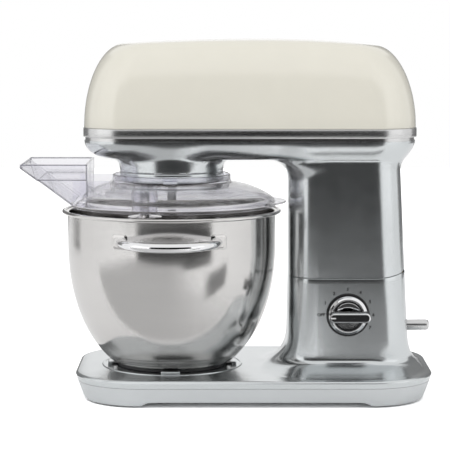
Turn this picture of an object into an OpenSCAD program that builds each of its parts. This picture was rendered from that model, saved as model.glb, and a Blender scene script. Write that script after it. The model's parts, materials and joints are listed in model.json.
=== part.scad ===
// Tilt-head stand mixer, built as a real assembly.
// Millimetres. +Z up, +X from the bowl to the column, origin on the table below the middle.

/* [Base] */
// Length of the base
base_len = 370.8; // [330:0.1:400]
// Width of the base
base_w = 213.4; // [190:0.1:230]
// Place of the base's middle along X
base_x = 26.8; // [17:0.1:37]
// Corner radius of the base in plan
base_r = 68; // [50:1:90]
// Height of the deck above the table
deck_z = 29; // [26:0.5:34]
// Height of the line between tray and housing
tray_top = 21; // [18:0.5:23]
// How far the base's side leans in from deck to table
base_lean = 10; // [4:0.5:14]
// Height of the rubber feet below the tray's skirt
foot_drop = 2; // [1:0.5:4]
// Height of the tray's floor above the skirt's edge
skirt_h = 4; // [3:0.5:6]
// Wall of the plastic tray
tray_wall = 3; // [2:0.5:4]

/* [Column] */
// Front face of the column
col_front = 63.5; // [61:0.5:67]
// Rear face of the column at the seam
col_rear = 185; // [181:0.5:189]
// How far the rear face leans in from the seam up to the head
col_lean = 5.5; // [0:0.5:8]
// Half width of the column
col_hw = 48.7; // [44:0.1:52]
// Corner radius of the column
col_r = 26; // [18:1:30]
// How far the stand's rear face leans out from the seam to the deck
splay_rear = 5.5; // [0:0.5:8]
// How far the stand's front face leans out from the seam to the deck
splay_front = 2; // [0:0.5:4]
// Height of the seam between stand and arm
seam_z = 126; // [120:1:132]
// Gap between stand and arm at the seam
seam_gap = 0.6; // [0.4:0.1:1.2]
// Height of the flare where the column meets the deck
flare_h = 40; // [30:1:50]
// Reach of the flare to each side
flare_side = 46; // [30:1:50]
// Reach of the flare towards the bowl
flare_front = 28; // [15:1:32]
// Reach of the flare to the rear
flare_rear = 14; // [6:1:16]
// Wall of the castings
cast_wall = 3; // [2.5:0.5:4]

/* [Head] */
// Front end of the head at the trim band
head_front = -150.5; // [-158:0.5:-143]
// Rear end of the head at the trim band
head_rear = 196.5; // [191:0.5:203]
// Half width of the head at the trim band
head_hw = 55.5; // [50:0.5:60]
// Height of the arm's underside
arm_z = 247.6; // [244:0.1:252]
// Height of the arm casting's top edge
trim_z = 267; // [262:0.5:272]
// Height of the trim band
trim_h = 13.3; // [8:0.1:16]
// Height of the cover above the trim band
cover_h = 91.5; // [70:0.5:100]
// Wall of the plastic cover
cover_wall = 2.5; // [2:0.5:4]
// Radius of the corner between column and arm
throat_r = 24; // [12:1:30]
// Radius of the neck around the drive
neck_r = 54.2; // [53:0.1:56]
// Height of the neck's lower edge
neck_z = 232.4; // [230:0.1:236]

/* [Bowl] */
// Place of the bowl's axis along X
bowl_x = -59; // [-61:0.5:-55]
// Radius of the bowl's wall
bowl_r = 109.2; // [100:0.1:110]
// Thickness of the bowl's sheet
bowl_wall = 1.5; // [1:0.1:2]
// Radius of the bowl's foot
foot_r = 61; // [50:0.5:61.5]
// Height of the bowl's foot above the table
bowl_z = 32; // [31.8:0.1:36]
// Height of the bowl's rim
rim_z = 192; // [180:0.5:194]
// Outer radius of the rolled rim
rim_r = 115; // [112:0.5:117]
// Thickness of the handle rod
handle_d = 9.4; // [7:0.1:11]
// Reach of the handle from the bowl's axis
handle_reach = 144; // [136:0.5:150]
// Half distance between a handle's ends
handle_hw = 49; // [42:0.5:56]
// Height of the handles at the bowl's wall
handle_z = 169.5; // [150:0.5:175]
// Fall of the handles from the wall to their front
handle_fall = 1; // [0:0.5:12]
// Radius of the seat disc in the deck
seat_r = 74; // [71:0.5:78]

/* [Guard] */
// Inner radius of the guard's collar
collar_r = 59.5; // [58.5:0.1:61]
// Height of the collar's top edge
collar_top = 231; // [229:0.1:232]
// Outer radius of the guard's skirt
guard_r = 109; // [100:0.1:112]
// Height of the skirt's lower edge
guard_z = 198; // [196:0.1:200]
// Wall of the guard
guard_wall = 2.2; // [1.8:0.1:3]
// Half width of the feed opening
feed_hw = 47.6; // [30:0.1:50]
// Half width of the spout's upper part
spout_hw = 53; // [50:0.5:58]
// Tip of the pouring spout
spout_tip = -213; // [-222:0.5:-205]

/* [Knob] */
// Place of the knob along X
knob_x = 124; // [115:0.5:133]
// Height of the knob's axis
knob_z = 88; // [80:0.5:96]
// Radius of the dial bezel
bezel_r = 22.5; // [20:0.5:26]
// Radius of the knob
knob_r = 19; // [16:0.5:19.5]
// Width of the knob's grip bar
grip_w = 9.5; // [6:0.5:12]
// Radius of the knob's shaft
knob_shaft_r = 3; // [2:0.1:4]

/* [Hinge and latch] */
// Place of the hinge pin along X
hinge_x = 180; // [177:0.5:181]
// Height of the hinge pin
hinge_z = 130; // [128:0.5:132]
// Outer radius of the hinge barrel
barrel_r = 4.9; // [4.5:0.1:5.2]
// Radius of the hinge pin
hinge_pin_r = 2.5; // [2:0.1:3]
// Half width of the knuckle between the ears
knuckle_hw = 14.6; // [10:0.1:16]
// Tilt of the head at its upper stop
tilt_max = 35; // [20:1:38]
// Height of the release rod
rod_z = 70; // [64:0.5:76]
// Radius of the release rod
rod_r = 5.6; // [4:0.1:6.5]
// End of the release rod
rod_end = 213; // [202:0.5:222]
// Place of the latch pivot along X
latch_x = 127; // [122:0.5:132]
// Swing of the release rod
latch_max = 8; // [4:1:10]

/* [Drive] */
// Module of the spur gears
gear_m = 1.25; // [1:0.05:1.5]
// Teeth of the spur wheels
wheel_t = 48; // [40:1:56]
// Teeth of the spur pinions
pinion_t = 16; // [14:1:20]
// Module of the planetary gears
planet_m = 1.5; // [1.25:0.05:1.5]
// Teeth of the fixed ring gear
ring_t = 58; // [50:1:58]
// Teeth of the planet pinion
planet_t = 20; // [16:1:24]
// Radius of the turning hub
hub_r = 52; // [50:0.1:52.3]
// Place of the motor's axis along X
motor_x = 125; // [121:0.5:129]
// Radius of the armature
rotor_r = 20; // [16:0.5:22]
// Radius of the large belt pulley
pulley_r = 28.6; // [20:0.1:32]
// Radius of the motor's belt pulley
motor_pulley_r = 7.2; // [6:0.1:9]

/* [Tool] */
// Radius of the hook's spiral
hook_r = 24; // [16:0.5:26]
// Radius of the hook's rod
hook_rod_r = 5.5; // [4:0.1:6.5]
// Height of the hook's lowest turn
hook_z = 54; // [50:1:90]
// Radius of the disc above the hook
disc_r = 18; // [14:0.5:22]

/* [Fits] */
// Radial running clearance of a shaft in its bearing
run_gap = 0.05; // [0.02:0.01:0.1]
// Gap between parts that move past each other
air = 0.5; // [0.4:0.1:0.8]

/* [Hidden] */
$fn = 64;
e = 0.01;

silver = [0.74, 0.75, 0.76];
steel = [0.80, 0.80, 0.81];
cream = [0.93, 0.91, 0.84];
black = [0.08, 0.08, 0.09];
clear = [0.86, 0.86, 0.92, 0.4];
brass = [0.80, 0.62, 0.30];
copper = [0.75, 0.42, 0.24];
dark = [0.25, 0.26, 0.28];

// Heights and lengths worked out from the driving sizes
floor_z = foot_drop + skirt_h;
floor_top = floor_z + tray_wall;
arm_bottom = seam_z + seam_gap / 2;
stand_top = seam_z - seam_gap / 2;
cover_z = trim_z + trim_h;
head_floor = arm_z + cast_wall;
neck_in = neck_r - cast_wall - 0.2;
gear_dist = gear_m * (wheel_t + pinion_t) / 2;
orbit = planet_m * (ring_t - planet_t) / 2;
lay_x = bowl_x + gear_dist;
tool_x = bowl_x - orbit;

// Drive stack, bottom to top
carrier_z = 221.6;
carrier_top = neck_z - 0.7;
ring_z = neck_z + 1.6;
web_z = ring_z + 10;
shaft_top = 262.4;
wheel1_z = 254;
wheel2_z = 266;
wheel_w = 8;
plate_z = 278;
plate_h = 4;
belt_z = 287;
belt_w = 10;
belt_t = 1.6;
shaft_r = 6;
lay_r = 4;
bearing_w = 5;

// Motor stack
motor_floor = arm_bottom + cast_wall;
lower_bracket_z = 135;
bracket_h = 4;
core_z = 168;
core_h = 40;
upper_bracket_z = 236;
motor_shaft_r = 4;
core_hx = 36;
core_hy = 38;
post_d = 34;
bearing_r = 8;

// ---------------------------------------------------------------- helpers

// Shortest half side between two corners of a plan
min_flat = 0.5;

// Rounded rectangle in plan, as a ring of points, with n points to a corner
function plan(x0, x1, hw, r, n = 6) =
  let (q = max(min(r, hw - min_flat, (x1 - x0) / 2 - min_flat), min_flat)) concat(
  [for (i = [0 : n]) [x1 - q + q * cos(90 * i / n), hw - q + q * sin(90 * i / n)]],
  [for (i = [0 : n]) [x0 + q - q * sin(90 * i / n), hw - q + q * cos(90 * i / n)]],
  [for (i = [0 : n]) [x0 + q - q * cos(90 * i / n), q - hw - q * sin(90 * i / n)]],
  [for (i = [0 : n]) [x1 - q + q * sin(90 * i / n), q - hw - q * cos(90 * i / n)]]);

// A ring of points lifted to height z
function lift(ring, z) = [for (p = ring) [p[0], p[1], z]];

// Solid through a stack of rings, bottom to top
module loft(rings) {
  n = len(rings[0]);
  m = len(rings);
  polyhedron(
    points = [for (ring = rings) each ring],
    faces = concat(
      [[for (i = [0 : n - 1]) i]],
      [for (k = [0 : m - 2], i = [0 : n - 1])
        [k * n + i, (k + 1) * n + i, (k + 1) * n + (i + 1) % n, k * n + (i + 1) % n]],
      [[for (i = [n - 1 : -1 : 0]) (m - 1) * n + i]]));
}

module at(x, y, z) translate([x, y, z]) children();

module pipe(r1, r0, h) difference() {
  cylinder(r = r1, h = h);
  at(0, 0, -e) cylinder(r = r0, h = h + 2 * e);
}

module disc_at(x, z, r, h) at(x, 0, z) cylinder(r = r, h = h);

// Cylinder along Y, centred, with its middle at x, z
module rod_y(x, z, r, hw) at(x, hw, z) rotate([90, 0, 0]) cylinder(r = r, h = 2 * hw);

// Box given by its two corners
module span(a, b) translate(a) cube([b[0] - a[0], b[1] - a[1], b[2] - a[2]]);

// Prism with an outline in the XZ plane and a half width in Y
module slab(outline, hw) translate([0, hw, 0]) rotate([90, 0, 0])
  linear_extrude(2 * hw) polygon(outline);

// Rings of a swept tube with n sides, where ref is a direction that the path never takes
function unit(v) = v / norm(v);
function tube_rings(path, radii, n, ref) = let (m = len(path)) [for (i = [0 : m - 1])
  let (
    t = unit(path[min(i + 1, m - 1)] - path[max(i - 1, 0)]),
    side = unit(cross(t, ref)),
    up = cross(t, side))
  [for (k = [0 : n - 1]) path[i] + radii[i] * (cos(360 * k / n) * side + sin(360 * k / n) * up)]];

// Outline of a gear with teeth thinned for backlash, or of the hole of an inner gear
module gear(m, teeth, h, inner = false) {
  pitch = m * teeth / 2;
  tip = inner ? pitch + 1.2 * m : pitch + 0.8 * m;
  root = inner ? pitch - 0.8 * m : pitch - 1.2 * m;
  step = 360 / teeth;
  tip_w = inner ? 0.20 : 0.11;
  root_w = inner ? 0.39 : 0.30;
  linear_extrude(h) polygon([for (i = [0 : teeth - 1]) each [
    for (s = [[-root_w, root], [-tip_w, tip], [tip_w, tip], [root_w, root]])
      let (a = step * (i + s[0])) [s[1] * cos(a), s[1] * sin(a)]]]);
}

// ---------------------------------------------------------------- base

// Outline of the base at height z, drawn in by its leaning side and by an inset
function base_ring(z, inset = 0) =
  let (lean = base_lean * pow(max(deck_z - z, 0) / deck_z, 1.2) + inset)
  lift(plan(base_x - base_len / 2 + lean, base_x + base_len / 2 - lean, base_w / 2 - lean,
    base_r - lean, 8), z);

module base_shell(z0, z1, inset) loft([for (t = [0 : 0.5 : 1]) base_ring(z0 + (z1 - z0) * t, inset)]);

foot_xs = [base_x - base_len / 2 + 50, base_x + base_len / 2 - 50];
foot_ys = [-base_w / 2 + 42, base_w / 2 - 42];
boss_xs = [base_x - base_len / 2 + 125, base_x + base_len / 2 - 60];
boss_y = base_w / 2 - 22;
boss_r = 4;
// The rear bosses end inside the wall of the flare
boss_top = deck_z + 0.5;
screw_r = 1.5;
screw_top = deck_z - cast_wall;

module at_bosses(z) for (x = boss_xs, y = [-boss_y, boss_y]) at(x, y, z) children();

module base_tray() color(silver) {
  difference() {
    base_shell(foot_drop, tray_top, 0);
    base_shell(floor_top, tray_top + e, tray_wall);
    base_shell(foot_drop - e, floor_z, tray_wall);
    span([base_x - 114, -base_w, -e], [base_x + 118, base_w, floor_z]);
    at_bosses(floor_z - e) cylinder(r = screw_r + 0.3, h = 9);
    at(base_x + base_len / 2 - 20, gland_y, gland_z) rotate([0, 90, 0]) cylinder(r = gland_r, h = 30);
  }
  for (x = board_posts_x, y = board_posts_y) at(x, y, floor_top) cylinder(r = 3, h = board_z - floor_top);
}

module rubber_feet() color(black) for (x = foot_xs, y = foot_ys) at(x, y, 0) {
  cylinder(r1 = 8, r2 = 9, h = 1.5);
  at(0, 0, 1.5) cylinder(r = 9, h = floor_z - 1.5);
}

module base_screws() color(steel) at_bosses(floor_z) {
  at(0, 0, -2) cylinder(r = 3, h = 2);
  at(0, 0, -e) cylinder(r = screw_r, h = screw_top - floor_z);
}

// ---------------------------------------------------------------- stand

// Reach of the flare at height z, as a share of its full reach at the deck
function flare(z) = pow(max(1 - max(z - deck_z, 0) / flare_h, 0), 3);

// Share of the way from the seam down to the deck
function down(z) = max(seam_z - z, 0) / (seam_z - deck_z);

// Rear face of the stand at height z, without its flare
function stand_rear(z) = col_rear + splay_rear * down(z);

// Outline of the column below the seam, with the shape that it has at height zp
function stand_ring(z, zp, inset = 0) = let (f = flare(zp)) lift(plan(
  col_front - flare_front * f - splay_front * down(zp) + inset,
  stand_rear(zp) + flare_rear * f - inset,
  col_hw + flare_side * f - inset,
  col_r + (base_r - col_r) * f - inset), z);

stand_levels = [deck_z - 1, deck_z + 2, deck_z + 5, deck_z + 9, deck_z + 14, deck_z + 20, deck_z + 28,
  deck_z + flare_h, seam_z];
cave_levels = [deck_z + 2, deck_z + 6, deck_z + 12, deck_z + 20, deck_z + flare_h, stand_top - cast_wall];
step_x = hinge_x - 6;
stand_rear_top = hinge_z - seam_gap / 2;
slot_hw = 11;
slot_x0 = latch_x - 14;
slot_x1 = latch_x + 18;
rib_y = 12;
rib_t = 3;
ear_t = 5;
ear_gap = 0.4;
ear_hw = knuckle_hw + ear_gap + ear_t;
notch_hw = ear_hw + ear_gap;
notch_x = hinge_x - barrel_r - 0.7;

module stand_housing() color(silver) {
  difference() {
    union() {
      base_shell(tray_top, deck_z, 0);
      loft(concat([for (z = stand_levels) stand_ring(z, z)], [stand_ring(stand_rear_top, stand_rear_top)]));
    }
    // Room below the deck, around the screw bosses and the seat's ledge
    difference() {
      base_shell(tray_top - e, deck_z - cast_wall, cast_wall);
      at_bosses(tray_top - 1) cylinder(r = boss_r, h = boss_top - tray_top + 1);
      disc_at(bowl_x, tray_top - 1, seat_r + 4, 9);
    }
    // Room inside the column
    difference() {
      loft(concat([stand_ring(deck_z - cast_wall - 0.5, deck_z, cast_wall)],
        [for (z = cave_levels) stand_ring(z, z + cast_wall, cast_wall)]));
      at_bosses(tray_top - 1) cylinder(r = boss_r, h = boss_top - tray_top + 1);
    }
    // The stand stops at the seam, and steps up to the hinge at the rear
    slab([[0, stand_top], [step_x - 7, stand_top], [step_x, stand_rear_top], [step_x + 30, stand_rear_top],
      [step_x + 30, hinge_z + 9], [0, hinge_z + 9]], base_w / 2);
    // Notch for the hinge barrel, and the way in for the ears of its bracket
    span([notch_x, -notch_hw, hinge_z - barrel_r - 0.7], [col_rear + 9, notch_hw, hinge_z + 9]);
    span([notch_x, -notch_hw, seam_z - 9], [col_rear - cast_wall + 0.1, notch_hw, hinge_z + 9]);
    // Hole for the striker
    span([slot_x0, -slot_hw, seam_z - 9], [slot_x1, slot_hw, seam_z + 9]);
    // Recess for the seat disc
    disc_at(bowl_x, deck_z - seat_h, seat_r + 0.1, seat_h + 1);
    disc_at(bowl_x, tray_top - 1, seat_r - 8, deck_z);
    // Bores of the housing screws
    at_bosses(tray_top - 1) cylinder(r = screw_r, h = screw_top - tray_top + 1.5);
    // Flat seat of the dial bezel, and the hole for the knob's shaft
    on_dial(0) cylinder(r = bezel_r, h = 9);
    on_dial(-9) cylinder(r = knob_shaft_r + 1, h = 20);
    // Slot in which the release rod swings
    hull() for (z = [rod_z, rod_z - rod_drop]) at(col_rear - 20, 0, z) rotate([0, 90, 0])
      cylinder(r = rod_r + 0.8, h = 40, $fn = 32);
    // Bore for the safety switch's plunger
    at(switch_x, switch_y, seam_z - 9) cylinder(r = 2.2, h = 20);
  }
  // Ribs below the top plate that carry the latch
  for (s = [-1, 1]) difference() {
    at(0, s * (rib_y + rib_t / 2), 0)
      slab([[latch_x - 11, rod_z - 8], [latch_x + 11, rod_z - 8], [latch_x + 15, stand_top - cast_wall],
        [latch_x - 15, stand_top - cast_wall]], rib_t / 2);
    rod_y(latch_x, rod_z, pivot_r + run_gap, 30);
  }
}

seat_h = 2;
catch_hw = 9.5;
catch_h = bowl_z - deck_z;
lug_r = foot_r + 2.5;

module bowl_seat() color(silver) difference() {
  union() {
    disc_at(bowl_x, deck_z - seat_h, seat_r, seat_h);
    disc_at(bowl_x, deck_z - 5, seat_r - 8.3, 4);
    // Catches with a lip over the lugs of the bowl's foot
    for (a = [0 : 90 : 270]) at(bowl_x, 0, deck_z - e) rotate(a) intersection() {
      span([foot_r, -catch_hw, 0], [lug_r + 5, catch_hw, catch_h]);
      difference() {
        pipe(lug_r + 4.5, foot_r + 0.8, catch_h);
        at(0, 0, -e) cylinder(r = lug_r + air, h = catch_h - 1);
      }
    }
  }
  disc_at(bowl_x, deck_z - 1.5, foot_r - 12, 3);
}

module bowl_foot_ring() color(black) difference() {
  union() {
    disc_at(bowl_x, deck_z + 0.3, foot_r - 0.8, bowl_z - deck_z - 0.3);
    for (a = [0 : 90 : 270]) at(bowl_x, 0, deck_z + 0.3) rotate(a)
      intersection() {
        cylinder(r = lug_r, h = 1.3);
        span([foot_r - 4, -8, 0], [lug_r + 1, 8, 2]);
      }
  }
  disc_at(bowl_x, deck_z, foot_r - 14, 9);
}

// ---------------------------------------------------------------- hinge

function rear_at(z) = col_rear - col_lean * (z - seam_z) / (235 - seam_z);

ear_y = ear_hw - ear_t / 2;
bracket_foot = hinge_z - 30;
// Front edge of the plates that carry the barrel
plate_x = hinge_x - barrel_r + 0.5;

module hinge_bracket() color(dark) difference() {
  union() for (s = [-1, 1]) at(0, s * ear_y, 0) {
    rod_y(hinge_x, hinge_z, barrel_r, ear_t / 2);
    slab([[plate_x, bracket_foot], [stand_rear(bracket_foot + cast_wall) - cast_wall, bracket_foot],
      [col_rear - cast_wall, stand_top - cast_wall], [col_rear - cast_wall, hinge_z - barrel_r],
      [hinge_x + 1, hinge_z], [plate_x, hinge_z]], ear_t / 2);
  }
  rod_y(hinge_x, hinge_z, bush_r, 30);
}
bush_r = hinge_pin_r + 1;

module hinge_bushes() color(brass) for (s = [-1, 1]) difference() {
  at(0, s * ear_y, 0) rod_y(hinge_x, hinge_z, bush_r, ear_t / 2);
  rod_y(hinge_x, hinge_z, hinge_pin_r, 30);
}

module hinge_pin() color(steel) rod_y(hinge_x, hinge_z, hinge_pin_r, ear_hw);

knuckle_top = hinge_z + 34;

module hinge_knuckle() color(dark) difference() {
  union() {
    rod_y(hinge_x, hinge_z, barrel_r, knuckle_hw);
    slab([[plate_x, hinge_z], [hinge_x + 1, hinge_z], [rear_at(hinge_z + 8) - cast_wall, hinge_z + 8],
      [rear_at(knuckle_top) - cast_wall, knuckle_top], [plate_x, knuckle_top]], knuckle_hw);
  }
  rod_y(hinge_x, hinge_z, hinge_pin_r + run_gap, 30);
}

// ---------------------------------------------------------------- latch

pivot_r = 3;
rod_drop = (col_rear + 4 - latch_x) * sin(latch_max);
striker_x = latch_x + 2;
striker_z = seam_z - 10;
striker_r = 2.5;
// Gap between the striker's pin and the lever's nose
nose_gap = 1.2;
nose_x = striker_x + striker_r + nose_gap;
lever_back = latch_x + 13;

module latch_pivot_pin() color(steel) rod_y(latch_x, rod_z, pivot_r, rib_y + rib_t);

module latch_lever() color(dark) difference() {
  union() {
    rod_y(latch_x, rod_z, 8.5, rib_y - 0.3);
    slab([[latch_x - 4, rod_z], [latch_x + 8, rod_z], [lever_back, striker_z - 16],
      [lever_back, striker_z + 5], [nose_x + 4, striker_z + 8], [nose_x, striker_z + 5.5],
      [nose_x, striker_z + 3.2], [nose_x + 3, striker_z + 2.5], [nose_x + 3, striker_z - 6],
      [latch_x + 2, striker_z - 14]], 4);
    at(latch_x + 7, 0, rod_z) rotate([0, 90, 0]) cylinder(r = rod_r + 3, h = 20);
  }
  rod_y(latch_x, rod_z, pivot_r + run_gap, 30);
  at(latch_x + 11, 0, rod_z) rotate([0, 90, 0]) cylinder(r = rod_r, h = 20);
}

module release_rod() color(steel) {
  at(latch_x + 11, 0, rod_z) rotate([0, 90, 0]) cylinder(r = rod_r, h = rod_end - 2 - latch_x - 11);
  at(rod_end - 2, 0, rod_z) rotate([0, 90, 0]) cylinder(r1 = rod_r, r2 = rod_r - 2, h = 2);
}

spring_z = striker_z - 12;
spring_x0 = lever_back + 0.2;
spring_x1 = stand_rear(spring_z + cast_wall) - cast_wall - 0.2;

module latch_spring() color(steel) {
  turns = 8;
  steps = 10;
  last = turns * steps;
  reach = spring_x1 - spring_x0 - 1.2;
  path = [for (i = [0 : last]) [
    spring_x0 + 0.6 + reach * i / last, 4 * cos(360 * i / steps), spring_z + 4 * sin(360 * i / steps)]];
  loft(tube_rings(path, [for (p = path) 0.55], 6, [1, 0, 0]));
}

module latch_striker() color(steel) {
  for (s = [-1, 1]) at(0, s * 8.2, 0)
    span([striker_x - 5, -1.2, striker_z - 4], [striker_x + 5, 1.2, arm_bottom]);
  rod_y(striker_x, striker_z, striker_r, 8);
}

// ---------------------------------------------------------------- controls

gland_y = -30;
gland_r = 4;
gland_flange = 1.5;
gland_z = floor_top + gland_r + gland_flange + 0.1;
switch_x = 85;
switch_y = 22;
board_z = 15;
board_t = 1.6;
board_top = board_z + board_t - e;
board_rear = base_x + base_len / 2 - 55.2;
board_posts_x = [board_rear - 60, board_rear];
board_posts_y = [-22, 22];

module dial_bezel() color(black) difference() {
  at(knob_x, -col_hw, knob_z) rotate([90, 0, 0]) cylinder(r1 = bezel_r, r2 = bezel_r - 0.8, h = 2);
  at(knob_x, -col_hw + 1, knob_z) rotate([90, 0, 0]) cylinder(r = knob_shaft_r + 1, h = 9);
}

module on_dial(y) at(knob_x, -col_hw - y, knob_z) rotate([90, 0, 0]) children();

module knob_disc() color(black) {
  on_dial(2.4) cylinder(r = knob_r - 2.6, h = 7);
  on_dial(-26) cylinder(r = knob_shaft_r, h = 29);
}

module knob_ring() color(steel) on_dial(2.4) difference() {
  cylinder(r1 = knob_r, r2 = knob_r - 1.2, h = 5);
  at(0, 0, -e) cylinder(r = knob_r - 2.6, h = 6);
}

module knob_grip() color(black) on_dial(9.4) intersection() {
  at(-knob_r - 0.5, -grip_w / 2, 0) cube([2 * knob_r + 4, grip_w, 14.5]);
  at(0, 0, -e) cylinder(r1 = knob_r + 3.5, r2 = knob_r + 1.5, h = 15);
}

module speed_switch() color(dark) difference() {
  union() {
    at(knob_x - 15, cast_wall - col_hw, knob_z - 15) cube([30, 22, 30]);
    at(knob_x - 6, cast_wall + 22 - col_hw, knob_z - 12) cube([12, 6, 24]);
  }
  on_dial(-30) cylinder(r = knob_shaft_r + run_gap, h = 60);
}

module control_board() color([0.1, 0.35, 0.2]) {
  span([board_posts_x[0] - 8, board_posts_y[0] - 8, board_z],
    [board_posts_x[1] + 8, board_posts_y[1] + 8, board_z + board_t]);
  // Transformer, heat sink and capacitors
  at(board_posts_x[0], 0, board_top) {
    span([5, -16, 0], [25, 4, 16.4]);
    span([32, -12, 0], [50, 14, 8.4]);
    for (x = [10, 18, 26]) at(x, 14, 0) cylinder(r = 3.2, h = 9);
  }
}

module safety_switch() color(dark) {
  at(switch_x, switch_y, stand_top - cast_wall) {
    span([-5, -10, -11], [5, 10, 0]);
    at(0, 0, -e) cylinder(r = 1.8, h = cast_wall);
  }
}

module cord_gland() color(black) at(base_x + base_len / 2 - 15, gland_y, gland_z) rotate([0, 90, 0]) {
  pipe(gland_r, gland_r - 1.4, 11);
  pipe(gland_r + gland_flange, gland_r - 1.4, 3);
}

// ---------------------------------------------------------------- arm and head

function ease(t) = let (c = min(max(t, 0), 1)) c * c * (3 - 2 * c);
bend_z = 235;

// Rear face of the arm at height z, swept out to the head above the bend
function arm_rear(z) = rear_at(min(z, bend_z))
  + (head_rear - 1.5 - rear_at(bend_z)) * ease((z - bend_z) / (trim_z - bend_z));

// Front face of the arm, rounded into the head's underside
function arm_front(z) = let (t = min(max((z - arm_z + throat_r) / throat_r, 0), 1))
  col_front - throat_r * (1 - sqrt(1 - t * t));

function arm_ring(z, inset = 0) =
  lift(plan(arm_front(z) + inset, arm_rear(z) - inset, col_hw - inset, col_r - inset), z);

// The head's underside is rounded by this share at height z
nose_round = 32;
side_round = 20;
round_h = 20.5;
function under(z) = 1 - sqrt(1 - pow(min((trim_z - z) / round_h, 1), 2));
plan_r = 44;

function tray_ring(z, inset = 0) = lift(plan(head_front + 1 + nose_round * under(z) + inset,
  arm_rear(z) - inset, head_hw - 1 - side_round * under(z) - inset,
  plan_r - side_round * under(z) / 2 - inset, 8), z);

tray_levels = [for (t = [0, 0.06, 0.15, 0.3, 0.5, 0.75, 1]) arm_z + (trim_z - arm_z) * t];
arm_levels = concat([arm_bottom],
  [for (t = [0, 0.4, 0.6, 0.75, 0.87, 0.95, 1]) arm_z - throat_r * (1 - t)], [arm_z + 14]);
relief = tan(tilt_max + 1);
hinge_gap_z = hinge_z + seam_gap / 2;
lug_angles = [30, 150, 270];
lug_z = 224;
skirt_r = hub_r + 0.8;

module arm_housing() color(silver) {
  difference() {
    union() {
      loft([for (z = tray_levels) tray_ring(z)]);
      loft([for (z = arm_levels) arm_ring(z)]);
      disc_at(bowl_x, neck_z, neck_r, arm_z + 10 - neck_z);
    }
    // Room in the head and in the column
    loft(concat([tray_ring(head_floor, cast_wall)], [tray_ring(head_floor + 8, cast_wall)],
      [lift(tray_ring(trim_z, cast_wall), trim_z + e)]));
    difference() {
      loft(concat([arm_ring(motor_floor, cast_wall)],
        [for (i = [1 : len(arm_levels) - 1]) arm_ring(arm_levels[i], cast_wall)]));
      slab([[hinge_x - 16, motor_floor - 9], [hinge_x - 16, motor_floor],
        [hinge_x - 8, hinge_gap_z + cast_wall], [hinge_x, hinge_gap_z + cast_wall],
        [hinge_x + 9, hinge_gap_z + cast_wall + 9 * relief], [hinge_x + 9, motor_floor - 9]], col_hw + 1);
    }
    // Underside at the rear, stepped up to the hinge and cut back for the tilt
    slab([[step_x - 7, arm_bottom - e], [step_x, hinge_gap_z], [hinge_x, hinge_gap_z],
      [hinge_x + 20, hinge_gap_z + 20 * relief], [hinge_x + 20, arm_bottom - e]], base_w / 2);
    // Notch for the hinge barrel
    span([notch_x, -notch_hw, seam_z - 9], [col_rear + 9, notch_hw, hinge_z + barrel_r + 0.7]);
    // Bore of the neck and its bearings
    disc_at(bowl_x, neck_z - 1, neck_in, web_z - neck_z + 1);
    disc_at(bowl_x, web_z - 1, 11, 20);
    disc_at(lay_x, web_z - 1, bearing_r, 20);
    // Room for the gears where the neck rises into the head
    disc_at(bowl_x, head_floor, neck_in, 20);
  }
  // Skirt below the neck with the lugs that carry the splash guard
  at(bowl_x, 0, lug_z) {
    pipe(neck_r, skirt_r, neck_z - lug_z + e);
    for (a = lug_angles) rotate(a) intersection() {
      pipe(neck_r + 3.6, neck_r - e, 2.5);
      span([0, -7, 0], [99, 7, 9]);
    }
  }
}

module head_trim() color(steel) difference() {
  loft([lift(tray_ring(trim_z, 1), trim_z), lift(tray_ring(trim_z, 1), trim_z + 3.5),
    lift(trim_plan(0), trim_z + 3.5), lift(trim_plan(0), cover_z)]);
  loft([lift(tray_ring(trim_z, cast_wall), trim_z - e), lift(trim_plan(cast_wall + 1), cover_z + e)]);
}
function trim_plan(inset) = plan(head_front + inset, head_rear - inset, head_hw - inset, plan_r - inset, 8);

// The cover: sides that lean in and round over into a crowned top
cover_round = 41;
cover_side = 24;
crown_x = 38.5;

function lean_in(u) = 1 - sqrt(1 - u * u);
function bulge(u) = 1 - pow(1 - pow(u, 3), 1 / 3);
// Fall of the crown at a point, 4 mm to the front and 7 mm to the rear
function crown(p, u) = let (t = p[0] - crown_x) u * (t < 0 ? 4 * pow(t / 150, 2) : 7 * pow(t / 126, 2));

function cover_plan(u, inset) = plan(head_front + 0.8 + cover_round * lean_in(u) + inset,
  head_rear - 0.8 - cover_round * lean_in(u) - inset, head_hw - 0.8 - cover_side * bulge(u) - inset,
  plan_r - 14 * bulge(u) - inset, 8);

function cover_ring(u, inset = 0) = [for (p = cover_plan(u, inset))
  [p[0], p[1], cover_z + (cover_h - 1 - inset) * u - crown(p, u)]];

// The top, drawn from its edge (share 1) to the flat middle of the crown (share 0.1)
function cap_ring(k, inset = 0) = [for (p = cover_plan(1, inset))
  let (q = [crown_x + (p[0] - crown_x) * k, p[1] * k])
  [q[0], q[1], cover_z + cover_h - inset - (k > 0.1 ? k * k + crown(q, 1) : 0)]];

cover_shares = [0.2, 0.4, 0.6, 0.74, 0.84, 0.91, 0.96, 0.985, 1];
cap_shares = [0.7, 0.35, 0.1];

module head_cover() color(cream) difference() {
  loft(concat([for (u = concat([0], cover_shares)) cover_ring(u)], [for (k = cap_shares) cap_ring(k)]));
  loft(concat([lift(cover_ring(0, cover_wall), cover_z - 1)],
    [for (u = concat([0], cover_shares)) cover_ring(u, cover_wall)],
    [for (k = cap_shares) cap_ring(k, cover_wall)]));
}

// ---------------------------------------------------------------- gearbox

plate_hw = 34;
plate_x0 = bowl_x - 48;
plate_x1 = lay_x + 40;
plate_post_r = 3.5;

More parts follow.
